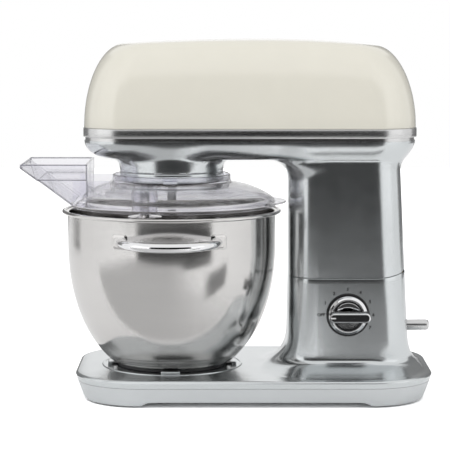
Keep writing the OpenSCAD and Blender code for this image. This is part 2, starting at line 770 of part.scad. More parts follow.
module gear_plate() color(dark) {
  difference() {
    span([plate_x0, -plate_hw, plate_z], [plate_x1, plate_hw, plate_z + plate_h]);
    disc_at(bowl_x, plate_z - 1, bearing_r, 9);
    disc_at(lay_x, plate_z - 1, bearing_r, 9);
  }
  for (x = [plate_x0 + 4, plate_x1 - 4], y = [4 - plate_hw, plate_hw - 4])
    at(x, y, head_floor) cylinder(r = plate_post_r, h = plate_z - head_floor);
}

module gearbox_bearings() color(steel) {
  at(bowl_x, 0, web_z) pipe(11, shaft_r + run_gap, head_floor - web_z);
  at(lay_x, 0, web_z) pipe(bearing_r, lay_r + run_gap, head_floor - web_z);
  for (x = [bowl_x, lay_x]) at(x, 0, plate_z) pipe(bearing_r, lay_r + run_gap, plate_h);
}

module ring_gear() color(steel) at(bowl_x, 0, ring_z) difference() {
  cylinder(r = neck_in - 0.1, h = web_z - ring_z);
  at(0, 0, -1) gear(planet_m, ring_t, 20, true);
}

module large_pulley() color(black) at(bowl_x, 0, 0) {
  at(0, 0, belt_z - 1) difference() {
    cylinder(r = pulley_r, h = belt_w + 2);
    at(0, 0, 4) pipe(pulley_r - 4, 10, belt_w);
    at(0, 0, -1) cylinder(r = lay_r, h = belt_w + 9);
  }
  for (z = [belt_z - 2.2, belt_z + belt_w + 1]) at(0, 0, z) pipe(pulley_r + 3, pulley_r - 4, 1.2);
  at(0, 0, shaft_top + 1) cylinder(r = lay_r, h = belt_z + belt_w + 4 - shaft_top - 1);
  at(0, 0, wheel2_z - 0.5) rotate(180 / pinion_t) gear(gear_m, pinion_t, wheel_w + 1);
}

module layshaft() color(steel) disc_at(lay_x, web_z + 0.5, lay_r, plate_z + plate_h + 2 - web_z - 0.5);

module layshaft_gears() color(steel) at(lay_x, 0, 0) difference() {
  union() {
    at(0, 0, wheel1_z - 0.5) rotate(180 / pinion_t) gear(gear_m, pinion_t, wheel_w + 1);
    at(0, 0, wheel1_z + wheel_w) cylinder(r = 9, h = wheel2_z - wheel1_z - wheel_w + e);
    at(0, 0, wheel2_z) gear(gear_m, wheel_t, wheel_w);
  }
  at(0, 0, wheel1_z - 9) cylinder(r = lay_r, h = 60);
}

module main_gear() color(steel) at(bowl_x, 0, wheel1_z) difference() {
  gear(gear_m, wheel_t, wheel_w);
  at(0, 0, -1) cylinder(r = shaft_r, h = 20);
  for (a = [0 : 60 : 300]) rotate(a) at(18, 0, -1) cylinder(r = 5, h = 20);
}

module main_shaft() color(steel) disc_at(bowl_x, carrier_z, shaft_r, shaft_top - carrier_z);

module planet_carrier() color(black) difference() {
  disc_at(bowl_x, carrier_z, hub_r, carrier_top - carrier_z);
  disc_at(bowl_x, carrier_z - 1, shaft_r, 30);
  disc_at(tool_x, carrier_z - 1, bearing_r, 30);
  at(bowl_x, 0, carrier_top - 7) for (a = [-75, 0, 75]) rotate(a) at(30, 0, 0) cylinder(r = 13, h = 9);
}

module hub_bolt() color(steel) {
  disc_at(bowl_x, carrier_z - 6, 7.5, 6);
  disc_at(bowl_x, carrier_z - 18.6, 4.7, 13);
}

module planet_bearings() color(brass)
  at(tool_x, 0, carrier_z) pipe(bearing_r, out_r + run_gap, carrier_top - carrier_z);

// ---------------------------------------------------------------- belt and motor

// Outline around both pulleys, grown by an allowance
module belt_outline(grow) {
  big = pulley_r + grow;
  small = motor_pulley_r + grow;
  hull() {
    translate([bowl_x, 0]) circle(r = big);
    translate([motor_x, 0]) circle(r = small);
  }
}

module drive_belt() color(black) at(0, 0, belt_z) linear_extrude(belt_w) difference() {
  belt_outline(0.15 + belt_t);
  belt_outline(0.15);
}

module motor_pulley() color(steel) at(motor_x, 0, 0) {
  at(0, 0, belt_z - 1) pipe(motor_pulley_r, motor_shaft_r, belt_w + 2);
  for (z = [belt_z - 2, belt_z + belt_w + 1]) at(0, 0, z) pipe(motor_pulley_r + 3, motor_shaft_r, 1);
}

module motor_shaft() color(steel)
  disc_at(motor_x, lower_bracket_z - 2, motor_shaft_r, belt_z + belt_w + 5 - lower_bracket_z);

module armature() color(copper) at(motor_x, 0, core_z) difference() {
  cylinder(r = rotor_r, h = core_h);
  at(0, 0, -1) cylinder(r = motor_shaft_r, h = 60);
  for (a = [0 : 30 : 330]) rotate(a) span([rotor_r - 5, -1.2, -1], [rotor_r + 2, 1.2, 60]);
}

comm_z = core_z - 18;
comm_h = 14;
comm_r = 11;

module commutator() color(copper) at(motor_x, 0, comm_z) pipe(comm_r, motor_shaft_r, comm_h);

module cooling_fan() color(black) at(motor_x, 0, core_z + core_h + 12) {
  difference() {
    union() {
      cylinder(r = 10, h = 9);
      cylinder(r = 32, h = 1.5);
      for (a = [0 : 36 : 324]) rotate(a) span([9, -0.8, 0], [31, 0.8, 8]);
    }
    at(0, 0, -1) cylinder(r = motor_shaft_r, h = 20);
  }
}

module motor_stator() color(dark) at(motor_x, 0, core_z) difference() {
  at(-core_hx, -core_hy, 0) cube([2 * core_hx, 2 * core_hy, core_h]);
  at(0, 0, -1) cylinder(r = rotor_r + 0.6, h = 60);
  for (x = [-1, 1], y = [-1, 1]) at(x * (rotor_r + 6), y * 22, core_h / 2) cube([8, 14, 60], center = true);
}

// Each coil is a flat loop around one pole
coil_hw = 28;
coil_t = 7;
coil_over = 8;

module field_coils() color(copper)
  for (s = [-1, 1]) at(motor_x + s * (rotor_r + 6), 0, core_z + core_h / 2) difference() {
    cube([coil_t, 2 * coil_hw, core_h + 2 * coil_over], center = true);
    cube([coil_t + 2, 31, core_h + 1], center = true);
  }

module motor_brackets() color(dark) at(motor_x, 0, 0) {
  difference() {
    span([-40, -40, lower_bracket_z], [40, 40, lower_bracket_z + bracket_h]);
    disc_at(0, lower_bracket_z - 1, bearing_r, 9);
  }
  difference() {
    span([-40, -40, upper_bracket_z], [40, 40, upper_bracket_z + bracket_h]);
    disc_at(0, upper_bracket_z - 1, bearing_r, 9);
  }
  for (x = [-1, 1], y = [-1, 1]) at(x * post_d, y * (post_d + 1), 0) {
    at(0, 0, motor_floor) cylinder(r = 3, h = lower_bracket_z - motor_floor + e);
    at(0, 0, lower_bracket_z + bracket_h - e) cylinder(r = 2, h = core_z - lower_bracket_z - bracket_h + e);
    at(0, 0, core_z + core_h) cylinder(r = 2, h = upper_bracket_z - core_z - core_h + e);
  }
}

module motor_bearings() color(steel) for (z = [lower_bracket_z, upper_bracket_z])
  at(motor_x, 0, z) pipe(bearing_r, motor_shaft_r + run_gap, bracket_h);

module brush_holders() color(dark) for (s = [-1, 1]) difference() {
  union() {
    span([motor_x - 5, min(s * 13, s * 33), comm_z + 2], [motor_x + 5, max(s * 13, s * 33), comm_z + 12]);
    span([motor_x - 5, min(s * 27, s * 33), lower_bracket_z + bracket_h],
      [motor_x + 5, max(s * 27, s * 33), comm_z + 3]);
  }
  span([motor_x - 3, min(s * 10, s * 28), comm_z + 4], [motor_x + 3, max(s * 10, s * 28), comm_z + 10]);
}

module carbon_brushes() color(black) for (s = [-1, 1])
  span([motor_x - 3, min(s * (comm_r + 0.3), s * 26), comm_z + 4],
    [motor_x + 3, max(s * (comm_r + 0.3), s * 26), comm_z + 10]);

// ---------------------------------------------------------------- tool

out_r = 5;
spigot_r = 3;
shroud_r = 14.3;
disc_z = 183.5;
shaft_end = 200;
shroud_z = shaft_end - 3;

module planet_pinion() color(steel) at(tool_x, 0, ring_z + 1) difference() {
  gear(planet_m, planet_t, web_z - ring_z - 2);
  at(0, 0, -1) cylinder(r = out_r, h = 20);
}

module output_shaft() color(steel) difference() {
  disc_at(tool_x, shaft_end, out_r, web_z - 0.6 - shaft_end);
  disc_at(tool_x, shaft_end - 1, spigot_r, 17);
}

module output_shroud() color(clear) at(tool_x, 0, shroud_z) rotate_extrude() polygon([
  [out_r, 20], [out_r, carrier_z - 0.5 - shroud_z], [9, carrier_z - 0.5 - shroud_z], [12.5, 22],
  [shroud_r, 14], [shroud_r - 1, 0], [shroud_r - 3, 0], [shroud_r - 2.4, 13], [11, 20]]);

module dough_hook() color(steel) {
  disc_at(tool_x, shaft_end - 24, out_r, 24);
  disc_at(tool_x, shaft_end - e, spigot_r - 0.05, 15);
  steps = 22;
  top = shaft_end - 22;
  drop = top - hook_z;
  path = [for (i = [0 : steps])
    let (t = i / steps, r = hook_r * pow(sin(172 * pow(t, 0.85)), 0.8), a = 300 * t)
    [tool_x + r * cos(a), r * sin(a), top - drop * t]];
  loft(tube_rings(path, [for (i = [0 : steps]) hook_rod_r * (1 - 0.15 * i / steps)], 8, [0, 0, 1]));
}

module hook_guard() color(steel) at(tool_x, 0, disc_z) rotate_extrude() polygon([
  [out_r, 0], [out_r + 3, 0], [disc_r, 1], [disc_r, 2], [out_r + 3, 3.5], [out_r, 5]]);

// ---------------------------------------------------------------- splash guard

ring_out = collar_r + 2.5;
dome_z = collar_top - 9;
skirt_top = guard_z + 5.4;
lip_r = 63;
lip_tip = col_front - bowl_x - 2;
lip_z = guard_z + 2.7;
feed_in = bowl_x - ring_out;
feed_out = bowl_x - 100;
feed_top = 226.7;

// Outer line of the dome from the collar to the skirt, lowered by the wall for its inside
function dome(drop) = [[ring_out, dome_z - drop], [80, dome_z - 2.5 - drop], [97, dome_z - 9.5 - drop],
  [guard_r - 2 - drop / 2, dome_z - 16 - drop], [guard_r - drop, skirt_top - drop]];

module splash_guard() color(clear) {
  difference() {
    union() {
      at(bowl_x, 0, 0) rotate_extrude() polygon(concat(
        [[collar_r, collar_top], [ring_out, collar_top]], dome(0),
        [[guard_r, guard_z], [guard_r - guard_wall, guard_z]],
        [for (i = [4 : -1 : 0]) dome(guard_wall)[i]], [[collar_r, dome_z - 2 * guard_wall]]));
      // Walls of the feed opening
      difference() {
        span([feed_out, -feed_hw - guard_wall, guard_z],
          [feed_in + guard_wall, feed_hw + guard_wall, feed_top]);
        at(bowl_x, 0, guard_z - 1) cylinder(r = ring_out - 0.5, h = 60);
        at(bowl_x, 0, 0) rotate_extrude() polygon(concat(
          [[0, guard_z - 9], [guard_r - guard_wall, guard_z - 9]],
          [for (i = [4 : -1 : 0]) dome(guard_wall)[i]], [[0, dome_z - guard_wall]]));
      }
      // Crescent lip towards the column
      at(bowl_x, 0, lip_z) difference() {
        at(lip_tip - lip_r, 0, 0) cylinder(r = lip_r, h = 2);
        at(0, 0, -1) cylinder(r = guard_r - 0.5, h = 9);
      }
    }
    span([feed_out - 20, -feed_hw, guard_z - 9], [feed_in, feed_hw, feed_top + 9]);
    at(bowl_x, 0, guard_z - 20) cylinder(r = collar_r, h = 90);
  }
  // Tabs inside the collar, hung on the lugs of the arm
  at(bowl_x, 0, lug_z + 2.8) for (a = lug_angles) rotate(a) intersection() {
    pipe(collar_r + e, neck_r + 0.8, 2);
    span([0, -8, 0], [99, 8, 9]);
  }
}

spout_top = 244;
spout_in = -144;
spout_low = 201;
spout_end = -161;
shelf_z = feed_top + 0.3;
spout_lip_z = 240;

// Height of the spout's floor at x
function chute(x) = spout_lip_z - (x - spout_tip) * (spout_lip_z - spout_low) / (spout_end - spout_tip);
function chute_x(z) = spout_tip + (spout_lip_z - z) * (spout_end - spout_tip) / (spout_lip_z - spout_low);

module feed_spout() color(clear) difference() {
  rise = guard_wall * 1.2;
  low_hw = feed_hw - 0.3;
  wall_x = spout_in - guard_wall;
  union() {
    slab([[spout_tip, spout_lip_z], [chute_x(shelf_z), shelf_z], [spout_in, shelf_z],
      [spout_in, spout_top], [spout_tip, spout_top]], spout_hw);
    slab([[chute_x(shelf_z + 2), shelf_z + 2], [spout_end, spout_low], [spout_in, spout_low],
      [spout_in, shelf_z + 2]], low_hw);
  }
  slab([[spout_tip - 1, spout_lip_z + rise], [spout_tip, spout_lip_z + rise],
    [chute_x(shelf_z + guard_wall) + rise * 1.3, shelf_z + guard_wall], [wall_x, shelf_z + guard_wall],
    [wall_x, spout_top + 1], [spout_tip - 1, spout_top + 1]], spout_hw - guard_wall);
  slab([[chute_x(shelf_z + 6), shelf_z + 6 + rise], [spout_end, spout_low + rise],
    [spout_end, spout_low - 1], [wall_x, spout_low - 1], [wall_x, shelf_z + 9]], low_hw - guard_wall);
}

// ---------------------------------------------------------------- bowl

belly_z = 160;
belly_p = 2.2;
// Half height of the belly's curve, which meets the foot's radius at the foot
belly_h = (belly_z - bowl_z) / pow(1 - pow(foot_r / bowl_r, belly_p), 1 / belly_p);

// Radius of the bowl's outside at height z
function belly(z, wall = 0) = (bowl_r - wall) *
  pow(1 - pow(max(belly_z - z, 0) / (belly_h - wall), belly_p), 1 / belly_p);

module bowl() color(steel) at(bowl_x, 0, 0) {
  zs = [for (i = [0 : 14]) bowl_z + (belly_z - bowl_z) * i / 14];
  inside = [for (z = zs) [belly(max(z, bowl_z + bowl_wall), bowl_wall), max(z, bowl_z + bowl_wall)]];
  rotate_extrude($fn = 96) polygon(concat([[0, bowl_z]], [for (z = zs) [belly(z), z]],
    [[bowl_r, rim_z - 1], [rim_r - 2, rim_z - 1], [rim_r - 2, rim_z + 0.5],
      [bowl_r - bowl_wall, rim_z + 0.5]],
    [for (i = [14 : -1 : 0]) inside[i]], [[0, bowl_z + bowl_wall]]));
  at(0, 0, rim_z) rotate_extrude($fn = 96) translate([rim_r - 2, 0]) circle(r = 2, $fn = 24);
}

handle_foot_y = sqrt(pow(bowl_r, 2) - pow(handle_hw, 2));
handle_out = handle_reach - handle_foot_y;
handle_bend = (pow(handle_hw, 2) + pow(handle_out, 2)) / (2 * handle_out);
// Half width of the plates that carry the handles
plate_r = 7.5;

module bowl_handles() color(steel) at(bowl_x, 0, handle_z) for (s = [0, 180]) rotate(s) {
  difference() {
    at(0, handle_reach - handle_bend, 0) rotate([-handle_fall, 0, 0]) rotate_extrude($fn = 96)
      translate([handle_bend, 0]) circle(d = handle_d, $fn = 32);
    at(0, 0, -20) cylinder(r = bowl_r, h = 40, $fn = 96);
    span([-90, -40, -20], [90, handle_foot_y - 12, 20]);
  }
  for (k = [-1, 1]) intersection() {
    at(0, 0, -plate_r) pipe(bowl_r + 1.2, bowl_r, 2 * plate_r, $fn = 96);
    at(k * (handle_hw + 1), 60, 0) span([-plate_r, 0, -plate_r], [plate_r, 60, plate_r]);
  }
}

base_tray();
rubber_feet();
base_screws();
stand_housing();
bowl_seat();
hinge_bracket();
hinge_pin();
hinge_bushes();
latch_pivot_pin();
latch_spring();
dial_bezel();
speed_switch();
control_board();
safety_switch();
cord_gland();
latch_lever();
release_rod();
knob_disc();
knob_ring();
knob_grip();
arm_housing();
head_cover();
head_trim();
hinge_knuckle();
latch_striker();
motor_stator();
field_coils();
motor_brackets();
motor_bearings();
brush_holders();
carbon_brushes();
drive_belt();
gear_plate();
gearbox_bearings();
ring_gear();
motor_shaft();
armature();
commutator();
cooling_fan();
motor_pulley();
large_pulley();
layshaft();
layshaft_gears();
planet_carrier();
main_shaft();
main_gear();
hub_bolt();
planet_bearings();
planet_pinion();
output_shaft();
output_shroud();
dough_hook();
hook_guard();
splash_guard();
feed_spout();
bowl();
bowl_handles();
bowl_foot_ring();
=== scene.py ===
"""Looks of the tilt-head stand mixer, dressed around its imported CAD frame.

Shapes are worked out in millimetres and become metres where a mesh is made.
"""
import json
import math
from contextlib import contextmanager

import bmesh
import bpy
import numpy as np
from mathutils import Matrix, Vector


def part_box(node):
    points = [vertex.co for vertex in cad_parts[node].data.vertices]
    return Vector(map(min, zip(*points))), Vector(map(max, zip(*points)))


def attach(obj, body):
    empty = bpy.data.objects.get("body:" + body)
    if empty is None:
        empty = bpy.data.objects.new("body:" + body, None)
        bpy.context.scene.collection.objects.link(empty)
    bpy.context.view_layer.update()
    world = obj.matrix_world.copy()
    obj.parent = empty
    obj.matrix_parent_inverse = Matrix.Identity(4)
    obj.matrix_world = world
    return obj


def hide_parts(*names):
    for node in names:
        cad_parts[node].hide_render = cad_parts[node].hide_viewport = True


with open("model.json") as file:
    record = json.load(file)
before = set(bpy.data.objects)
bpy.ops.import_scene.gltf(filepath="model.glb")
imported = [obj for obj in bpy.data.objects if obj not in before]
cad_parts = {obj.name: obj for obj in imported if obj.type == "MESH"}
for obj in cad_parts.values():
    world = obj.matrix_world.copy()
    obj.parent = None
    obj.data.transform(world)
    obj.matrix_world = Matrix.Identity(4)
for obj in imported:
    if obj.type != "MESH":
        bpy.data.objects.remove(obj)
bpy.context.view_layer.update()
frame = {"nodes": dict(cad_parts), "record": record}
MM = 0.001


# ---- sizes from the frame

def span(node):
    """Lowest and highest corner of a CAD node, in millimetres."""
    low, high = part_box(node)
    return np.array(low) / MM, np.array(high) / MM


def upright(node):
    """Foot, top and radius of a round upright node."""
    low, high = span(node)
    return low[2], high[2], (high[0] - low[0]) / 2


STAND_LO, STAND_HI = span("stand_housing")
TRAY_LO, TRAY_HI = span("base_tray")
TRIM_LO, TRIM_HI = span("head_trim")
BOWL_LO, BOWL_HI = span("bowl")
GUARD_LO, GUARD_HI = span("splash_guard")
SPOUT_LO, SPOUT_HI = span("feed_spout")
SEAT_LO, SEAT_HI = span("bowl_seat")
KNOB_LO, KNOB_HI = span("knob_ring")
GRIP_LO, GRIP_HI = span("knob_grip")
ROD_LO, ROD_HI = span("release_rod")
HOOK_LO, HOOK_HI = span("dough_hook")
DISC_LO, DISC_HI = span("hook_guard")
PIN_LO, PIN_HI = span("hinge_pin")
COVER_TOP = span("head_cover")[1][2]
BRACKET_HW = span("hinge_bracket")[1][1]

WALL, COVER_WALL, CLEAR_WALL = 3.0, 2.5, 2.2  # walls of the castings, the cover and the splash guard
SEAM_GAP, TRAY_GAP = 0.6, 0.15  # between arm and stand, and between tray and stand
MERGE = 0.002  # points that are nearer than this become one
PAST = 9.0  # how far a cutter reaches past what it cuts
QUARTERS, THIRDS = (0, 90, 180, 270), (30, 150, 270)  # where catches and tabs sit, in degrees

BASE_X0, BASE_X1, BASE_HW = STAND_LO[0], STAND_HI[0], STAND_HI[1]
FOOT_DROP, TRAY_TOP = TRAY_LO[2], TRAY_HI[2]
CATCH_H = 3.0  # height of the bowl's catches above the deck
DECK_Z = SEAT_HI[2] - CATCH_H
BASE_R, BASE_LEAN = 68.0, 10.0  # corner of the base, and how far its foot is set back
EDGE_R = 3.0  # rounding of the deck's edge
SEAT_R = 74.0  # outer edge of the bowl's seat

# The column at the seam: its front, rear, half width and corner.
COL_FRONT, COL_REAR, COL_HW, COL_R = 63.5, 185.0, 48.7, 31.0
COL_LEAN, SPLAY_REAR, SPLAY_FRONT = 5.5, 5.5, 2.0  # leans in above the seam, and splays below it
FLARE_H, FLARE_SIDE, FLARE_FRONT, FLARE_REAR = 40.0, 46.0, 28.0, 14.0  # the flare at the deck
FACE_Y = -COL_HW  # the column's flat side, which carries the dial
HINGE = (PIN_LO + PIN_HI) / 2
STAND_TOP = HINGE[2] - 4 - SEAM_GAP / 2
ARM_BOTTOM = STAND_TOP + SEAM_GAP
SEAM_Z = (STAND_TOP + ARM_BOTTOM) / 2
STEP_H = HINGE[2] - SEAM_GAP / 2 - STAND_TOP
STEP_X = HINGE[0] - 6  # front of the hinge's knuckle
RISE_X = HINGE[0] - 30  # where the seam starts to rise towards the hinge
NOTCH_HW, NOTCH_R = BRACKET_HW + 0.4, 5.6  # room for the hinge
ARM_Z, BEND_Z = 247.6, 235.0  # lowest place of the head's tray, and the rear's bend
TRIM_Z, COVER_Z = TRIM_LO[2], TRIM_HI[2]
HEAD_X0, HEAD_X1, HEAD_HW = TRIM_LO[0], TRIM_HI[0], TRIM_HI[1]
PLAN_R = 44.0  # corner of the head seen from above
TRAY_IN, COVER_IN = 1.0, 0.8  # how far tray and cover stand back from the trim
UNDER_H, UNDER_FRONT, UNDER_SIDE, UNDER_R = 20.5, 32.0, 20.0, 10.0  # rounding of the underside
COVER_H = COVER_TOP - COVER_Z
CROWN_X = 38.5  # highest place of the cover
NECK_Z, NECK_R = 232.4, 54.2  # lower edge and radius of the neck over the bowl
BOWL_X, TOOL_X = (BOWL_LO[0] + BOWL_HI[0]) / 2, (DISC_LO[0] + DISC_HI[0]) / 2
BOWL_AXIS, TOOL_AXIS = (BOWL_X, 0, 0), (TOOL_X, 0, 0)
KNOB_X, KNOB_Z = (KNOB_LO[0] + KNOB_HI[0]) / 2, (KNOB_LO[2] + KNOB_HI[2]) / 2
DIAL = (("OFF", 180), ("1", 152), ("2", 123), ("3", 91), ("4", 61), ("5", 31), ("6", 0), ("7", -30))
FEED_HW, FEED_TOP = 47.6, 226.7  # opening of the splash guard under the chute
BOWL_R = 109.2  # widest place of the bowl's wall
HANDLE_R, HANDLE_HW, HANDLE_REACH = 4.7, 49.0, 144.0  # rod, half its width, reach from the bowl's axis
HANDLE_Z, HANDLE_FALL = 169.5, 1.0  # height at the wall, and degrees by which the rod falls
PLATE_R = 7.5  # half the width of a handle's plate


# ---- mesh tools

@contextmanager
def edited(ob):
    """An object's mesh for editing, written back when the editing ends."""
    bm = bmesh.new()
    bm.from_mesh(ob.data)
    yield bm
    bm.to_mesh(ob.data)
    bm.free()


def add(name, data):
    """Puts a mesh, text, lamp or camera into the scene as an object."""
    ob = bpy.data.objects.new(name, data)
    bpy.context.scene.collection.objects.link(ob)
    return ob


def worked_out(ob):
    """The mesh that an object's modifiers, or a text, come to."""
    bpy.context.view_layer.update()
    return bpy.data.meshes.new_from_object(ob.evaluated_get(bpy.context.evaluated_depsgraph_get()))


def shade(ob, angle):
    """Smooth shading, with the edges that are sharper than the angle kept sharp."""
    with edited(ob) as bm:
        for face in bm.faces:
            face.smooth = True
        for edge in bm.edges:
            edge.smooth = len(edge.link_faces) == 2 and edge.calc_face_angle(0) < math.radians(angle)


def raw(name, points, faces):
    """An object from points in millimetres, with its doubles merged and its faces turned outwards."""
    mesh = bpy.data.meshes.new(name)
    places = (np.asarray(points, float) * MM).tolist()
    mesh.from_pydata(places, [], [tuple(int(i) for i in face) for face in faces])
    ob = add(name, mesh)
    with edited(ob) as bm:
        bmesh.ops.remove_doubles(bm, verts=bm.verts, dist=MERGE * MM)
        bmesh.ops.recalc_face_normals(bm, faces=bm.faces)
    return ob


def dress(ob, body, slot, stands_for=(), angle=35, look=None):
    """Finishes a piece: its material, from the slot's finish unless a look is given, its shading and body,
    and hides the CAD nodes that it stands for.
    """
    ob.data.materials.clear()
    ob.data.materials.append(look or FINISHES[slot])
    shade(ob, angle)
    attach(ob, body)
    if stands_for:
        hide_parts(*stands_for)
    return ob


def cut(ob, *tools, operation="DIFFERENCE"):
    """Takes the tools' volumes out of an object, or adds them to it."""
    for tool in tools:
        mod = ob.modifiers.new("cut", "BOOLEAN")
        mod.operation, mod.solver, mod.object = operation, "EXACT", tool
    made = worked_out(ob)
    ob.modifiers.clear()
    ob.data = made
    for tool in tools:
        bpy.data.objects.remove(tool)
    return ob


def join(first, *others):
    """Adds the other objects' meshes to the first."""
    with edited(first) as bm:
        for ob in others:
            bm.from_mesh(ob.data)
            bpy.data.objects.remove(ob)
    return first


def soften(ob, width, angle=30):
    """Rounds the edges that are sharper than the angle."""
    with edited(ob) as bm:
        edges = [e for e in bm.edges
                 if len(e.link_faces) == 2 and e.calc_face_angle(0) > math.radians(angle)]
        bmesh.ops.bevel(bm, geom=edges, offset=width * MM, segments=2, profile=0.5,
                        affect="EDGES", clamp_overlap=True)
    return ob


def plan(x0, x1, hw, r, corner=20, side=10):
    """Rounded rectangle seen from above, anticlockwise, with as many points for any size."""
    r = max(min(r, hw - 0.5, (x1 - x0) / 2 - 0.5), 0.5)
    arc = np.radians(np.linspace(0, 90, corner + 1))
    middles = ((x1 - r, hw - r), (x0 + r, hw - r), (x0 + r, r - hw), (x1 - r, r - hw))
    arcs = []
    for quarter, (cx, cy) in enumerate(middles):
        a = arc + math.radians(90 * quarter)
        arcs.append(np.column_stack((cx + r * np.cos(a), cy + r * np.sin(a))))
    steps = np.linspace(0, 1, side + 1)[1:-1, None]
    ring = []
    for k in range(4):
        start, end = arcs[k][-1], arcs[(k + 1) % 4][0]
        ring += [arcs[k], start + (end - start) * steps]
    return np.vstack(ring)


def level(ring, z):
    """A plan outline lifted to height z, one number or one for each point."""
    return np.column_stack((ring, np.broadcast_to(z, len(ring))))


def loft(name, rings, closed=False):
    """Skin through rings with the same number of points, capped, or closed from the last to the first."""
    m, n = len(rings), len(rings[0])
    faces = [(k * n + i, k * n + (i + 1) % n, (k + 1) % m * n + (i + 1) % n, (k + 1) % m * n + i)
             for k in range(m if closed else m - 1) for i in range(n)]
    if not closed:
        faces += [range(n - 1, -1, -1), range((m - 1) * n, m * n)]
    return raw(name, np.vstack(rings), faces)


def lathe(name, profile, centre=(0, 0, 0), n=128, closed=False, axis="z"):
    """Turns a profile of (radius, height) around an axis through centre."""
    profile = np.asarray(profile, float)
    a = np.linspace(0, 2 * math.pi, n, endpoint=False)
    r, h = profile[:, 0][:, None], profile[:, 1][:, None]
    x, y, z = r * np.cos(a), r * np.sin(a), np.broadcast_to(h, (len(profile), n))
    if axis == "-y":
        x, y, z = x, -z, y
    elif axis == "x":
        x, y, z = z, x, y
    return loft(name, np.stack((x, y, z), -1) + np.array(centre), closed)


def drill(r, z0, z1, centre, n=48, axis="z"):
    """Plain cylinder for cutting, between two places on its axis."""
    return lathe("drill", [(0, z0), (r, z0), (r, z1), (0, z1)], centre, n, axis=axis)


def rounded(profile, radius, steps=4):
    """A polyline with its inner corners rounded to a radius."""
    p = [np.array(q, float) for q in profile]
    out = [p[0]]
    for before, at, after in zip(p, p[1:], p[2:]):
        u, v = before - at, after - at
        reach = min(radius, np.linalg.norm(u) * 0.45, np.linalg.norm(v) * 0.45)
        a, b = at + u / np.linalg.norm(u) * reach, at + v / np.linalg.norm(v) * reach
        out += [(1 - t) ** 2 * a + 2 * t * (1 - t) * at + t * t * b for t in np.linspace(0, 1, steps + 1)]
    return np.array(out + [p[-1]])


def tube(name, path, radii, n=24):
    """Round rod along a path, closed with domed ends."""
    path = np.asarray(path, float)
    radii = np.broadcast_to(radii, len(path)).astype(float)
    tangent = np.gradient(path, axis=0)
    tangent /= np.linalg.norm(tangent, axis=1)[:, None]
    side = np.cross(tangent[0], (0.3, 0.1, 1.0) if abs(tangent[0][2]) < 0.8 else (1.0, 0.2, 0.1))
    a = np.linspace(0, 2 * math.pi, n, endpoint=False)
    circles = []
    for t in tangent:
        side = side - t * side.dot(t)
        side /= np.linalg.norm(side)
        circles.append(np.cos(a)[:, None] * side + np.sin(a)[:, None] * np.cross(t, side))

    def dome(k, way, angles):
        r = radii[k]
        return [path[k] + way * tangent[k] * r * math.sin(e) + circles[k] * r * math.cos(e) for e in angles]

    angles = [math.radians(d) for d in (80, 55, 30)]
    rings = [p + circle * r for p, r, circle in zip(path, radii, circles)]
    return loft(name, dome(0, -1, angles) + rings + dome(-1, 1, angles[::-1]))


def box(name, low, high):
    """Plain box between two corners, for cutting and for softening."""
    x, y, z = zip(low, high)
    points = [(x[i], y[j], z[k]) for i in (0, 1) for j in (0, 1) for k in (0, 1)]
    faces = [(0, 1, 3, 2), (4, 6, 7, 5), (0, 4, 5, 1), (2, 3, 7, 6), (0, 2, 6, 4), (1, 5, 7, 3)]
    return raw(name, points, faces)


def slab(name, outline, start, end, axis="y"):
    """Prism between two places on an axis. Its outline is in the other two axes, in their order."""
    rings = [[(u, at, v) if axis == "y" else (at, u, v) for u, v in outline] for at in (start, end)]
    return loft(name, rings)


def sector(name, r0, r1, z0, z1, middle, half):
    """Piece of a ring around the bowl's axis, between two radii and two heights, half an angle to each side
    of a middle angle."""
    a = np.radians(np.linspace(middle - half, middle + half, 12))
    ring = np.vstack([np.column_stack((r * np.cos(t), r * np.sin(t))) for r, t in ((r1, a), (r0, a[::-1]))])
    return loft(name, [level(ring + (BOWL_X, 0), z) for z in (z0, z1)])


def smoothstep(a, b, x):
    """From 0 at a to 1 at b, level at both."""
    t = np.clip((np.asarray(x, float) - a) / (b - a), 0, 1)
    return t * t * (3 - 2 * t)


# ---- solids from a distance field

def blend_min(a, b, k):
    """The lower of two distances, with a fillet of about k where they meet."""
    h = np.clip(0.5 + 0.5 * (b - a) / k, 0, 1)
    return b * (1 - h) + a * h - k * h * (1 - h)


def blend_max(a, b, k):
    """The higher of two distances, with an edge rounded by about k."""
    return -blend_min(-a, -b, k)


def plan_distance(x, y, x0, x1, hw, r):
    """Distance from a rounded rectangle seen from above, below zero inside it."""
    qx = np.abs(x - (x0 + x1) / 2) - (x1 - x0) / 2 + r
    qy = np.abs(y) - hw + r
    return np.hypot(np.maximum(qx, 0), np.maximum(qy, 0)) + np.minimum(np.maximum(qx, qy), 0) - r


def gradient(field, p, step=0.05):
    """Slope of a field at each point, along the three axes."""
    out = np.empty_like(p)
    for axis in range(3):
        d = np.zeros(3)
        d[axis] = step
        out[:, axis] = (field(*(p + d).T) - field(*(p - d).T)) / (2 * step)
    return out


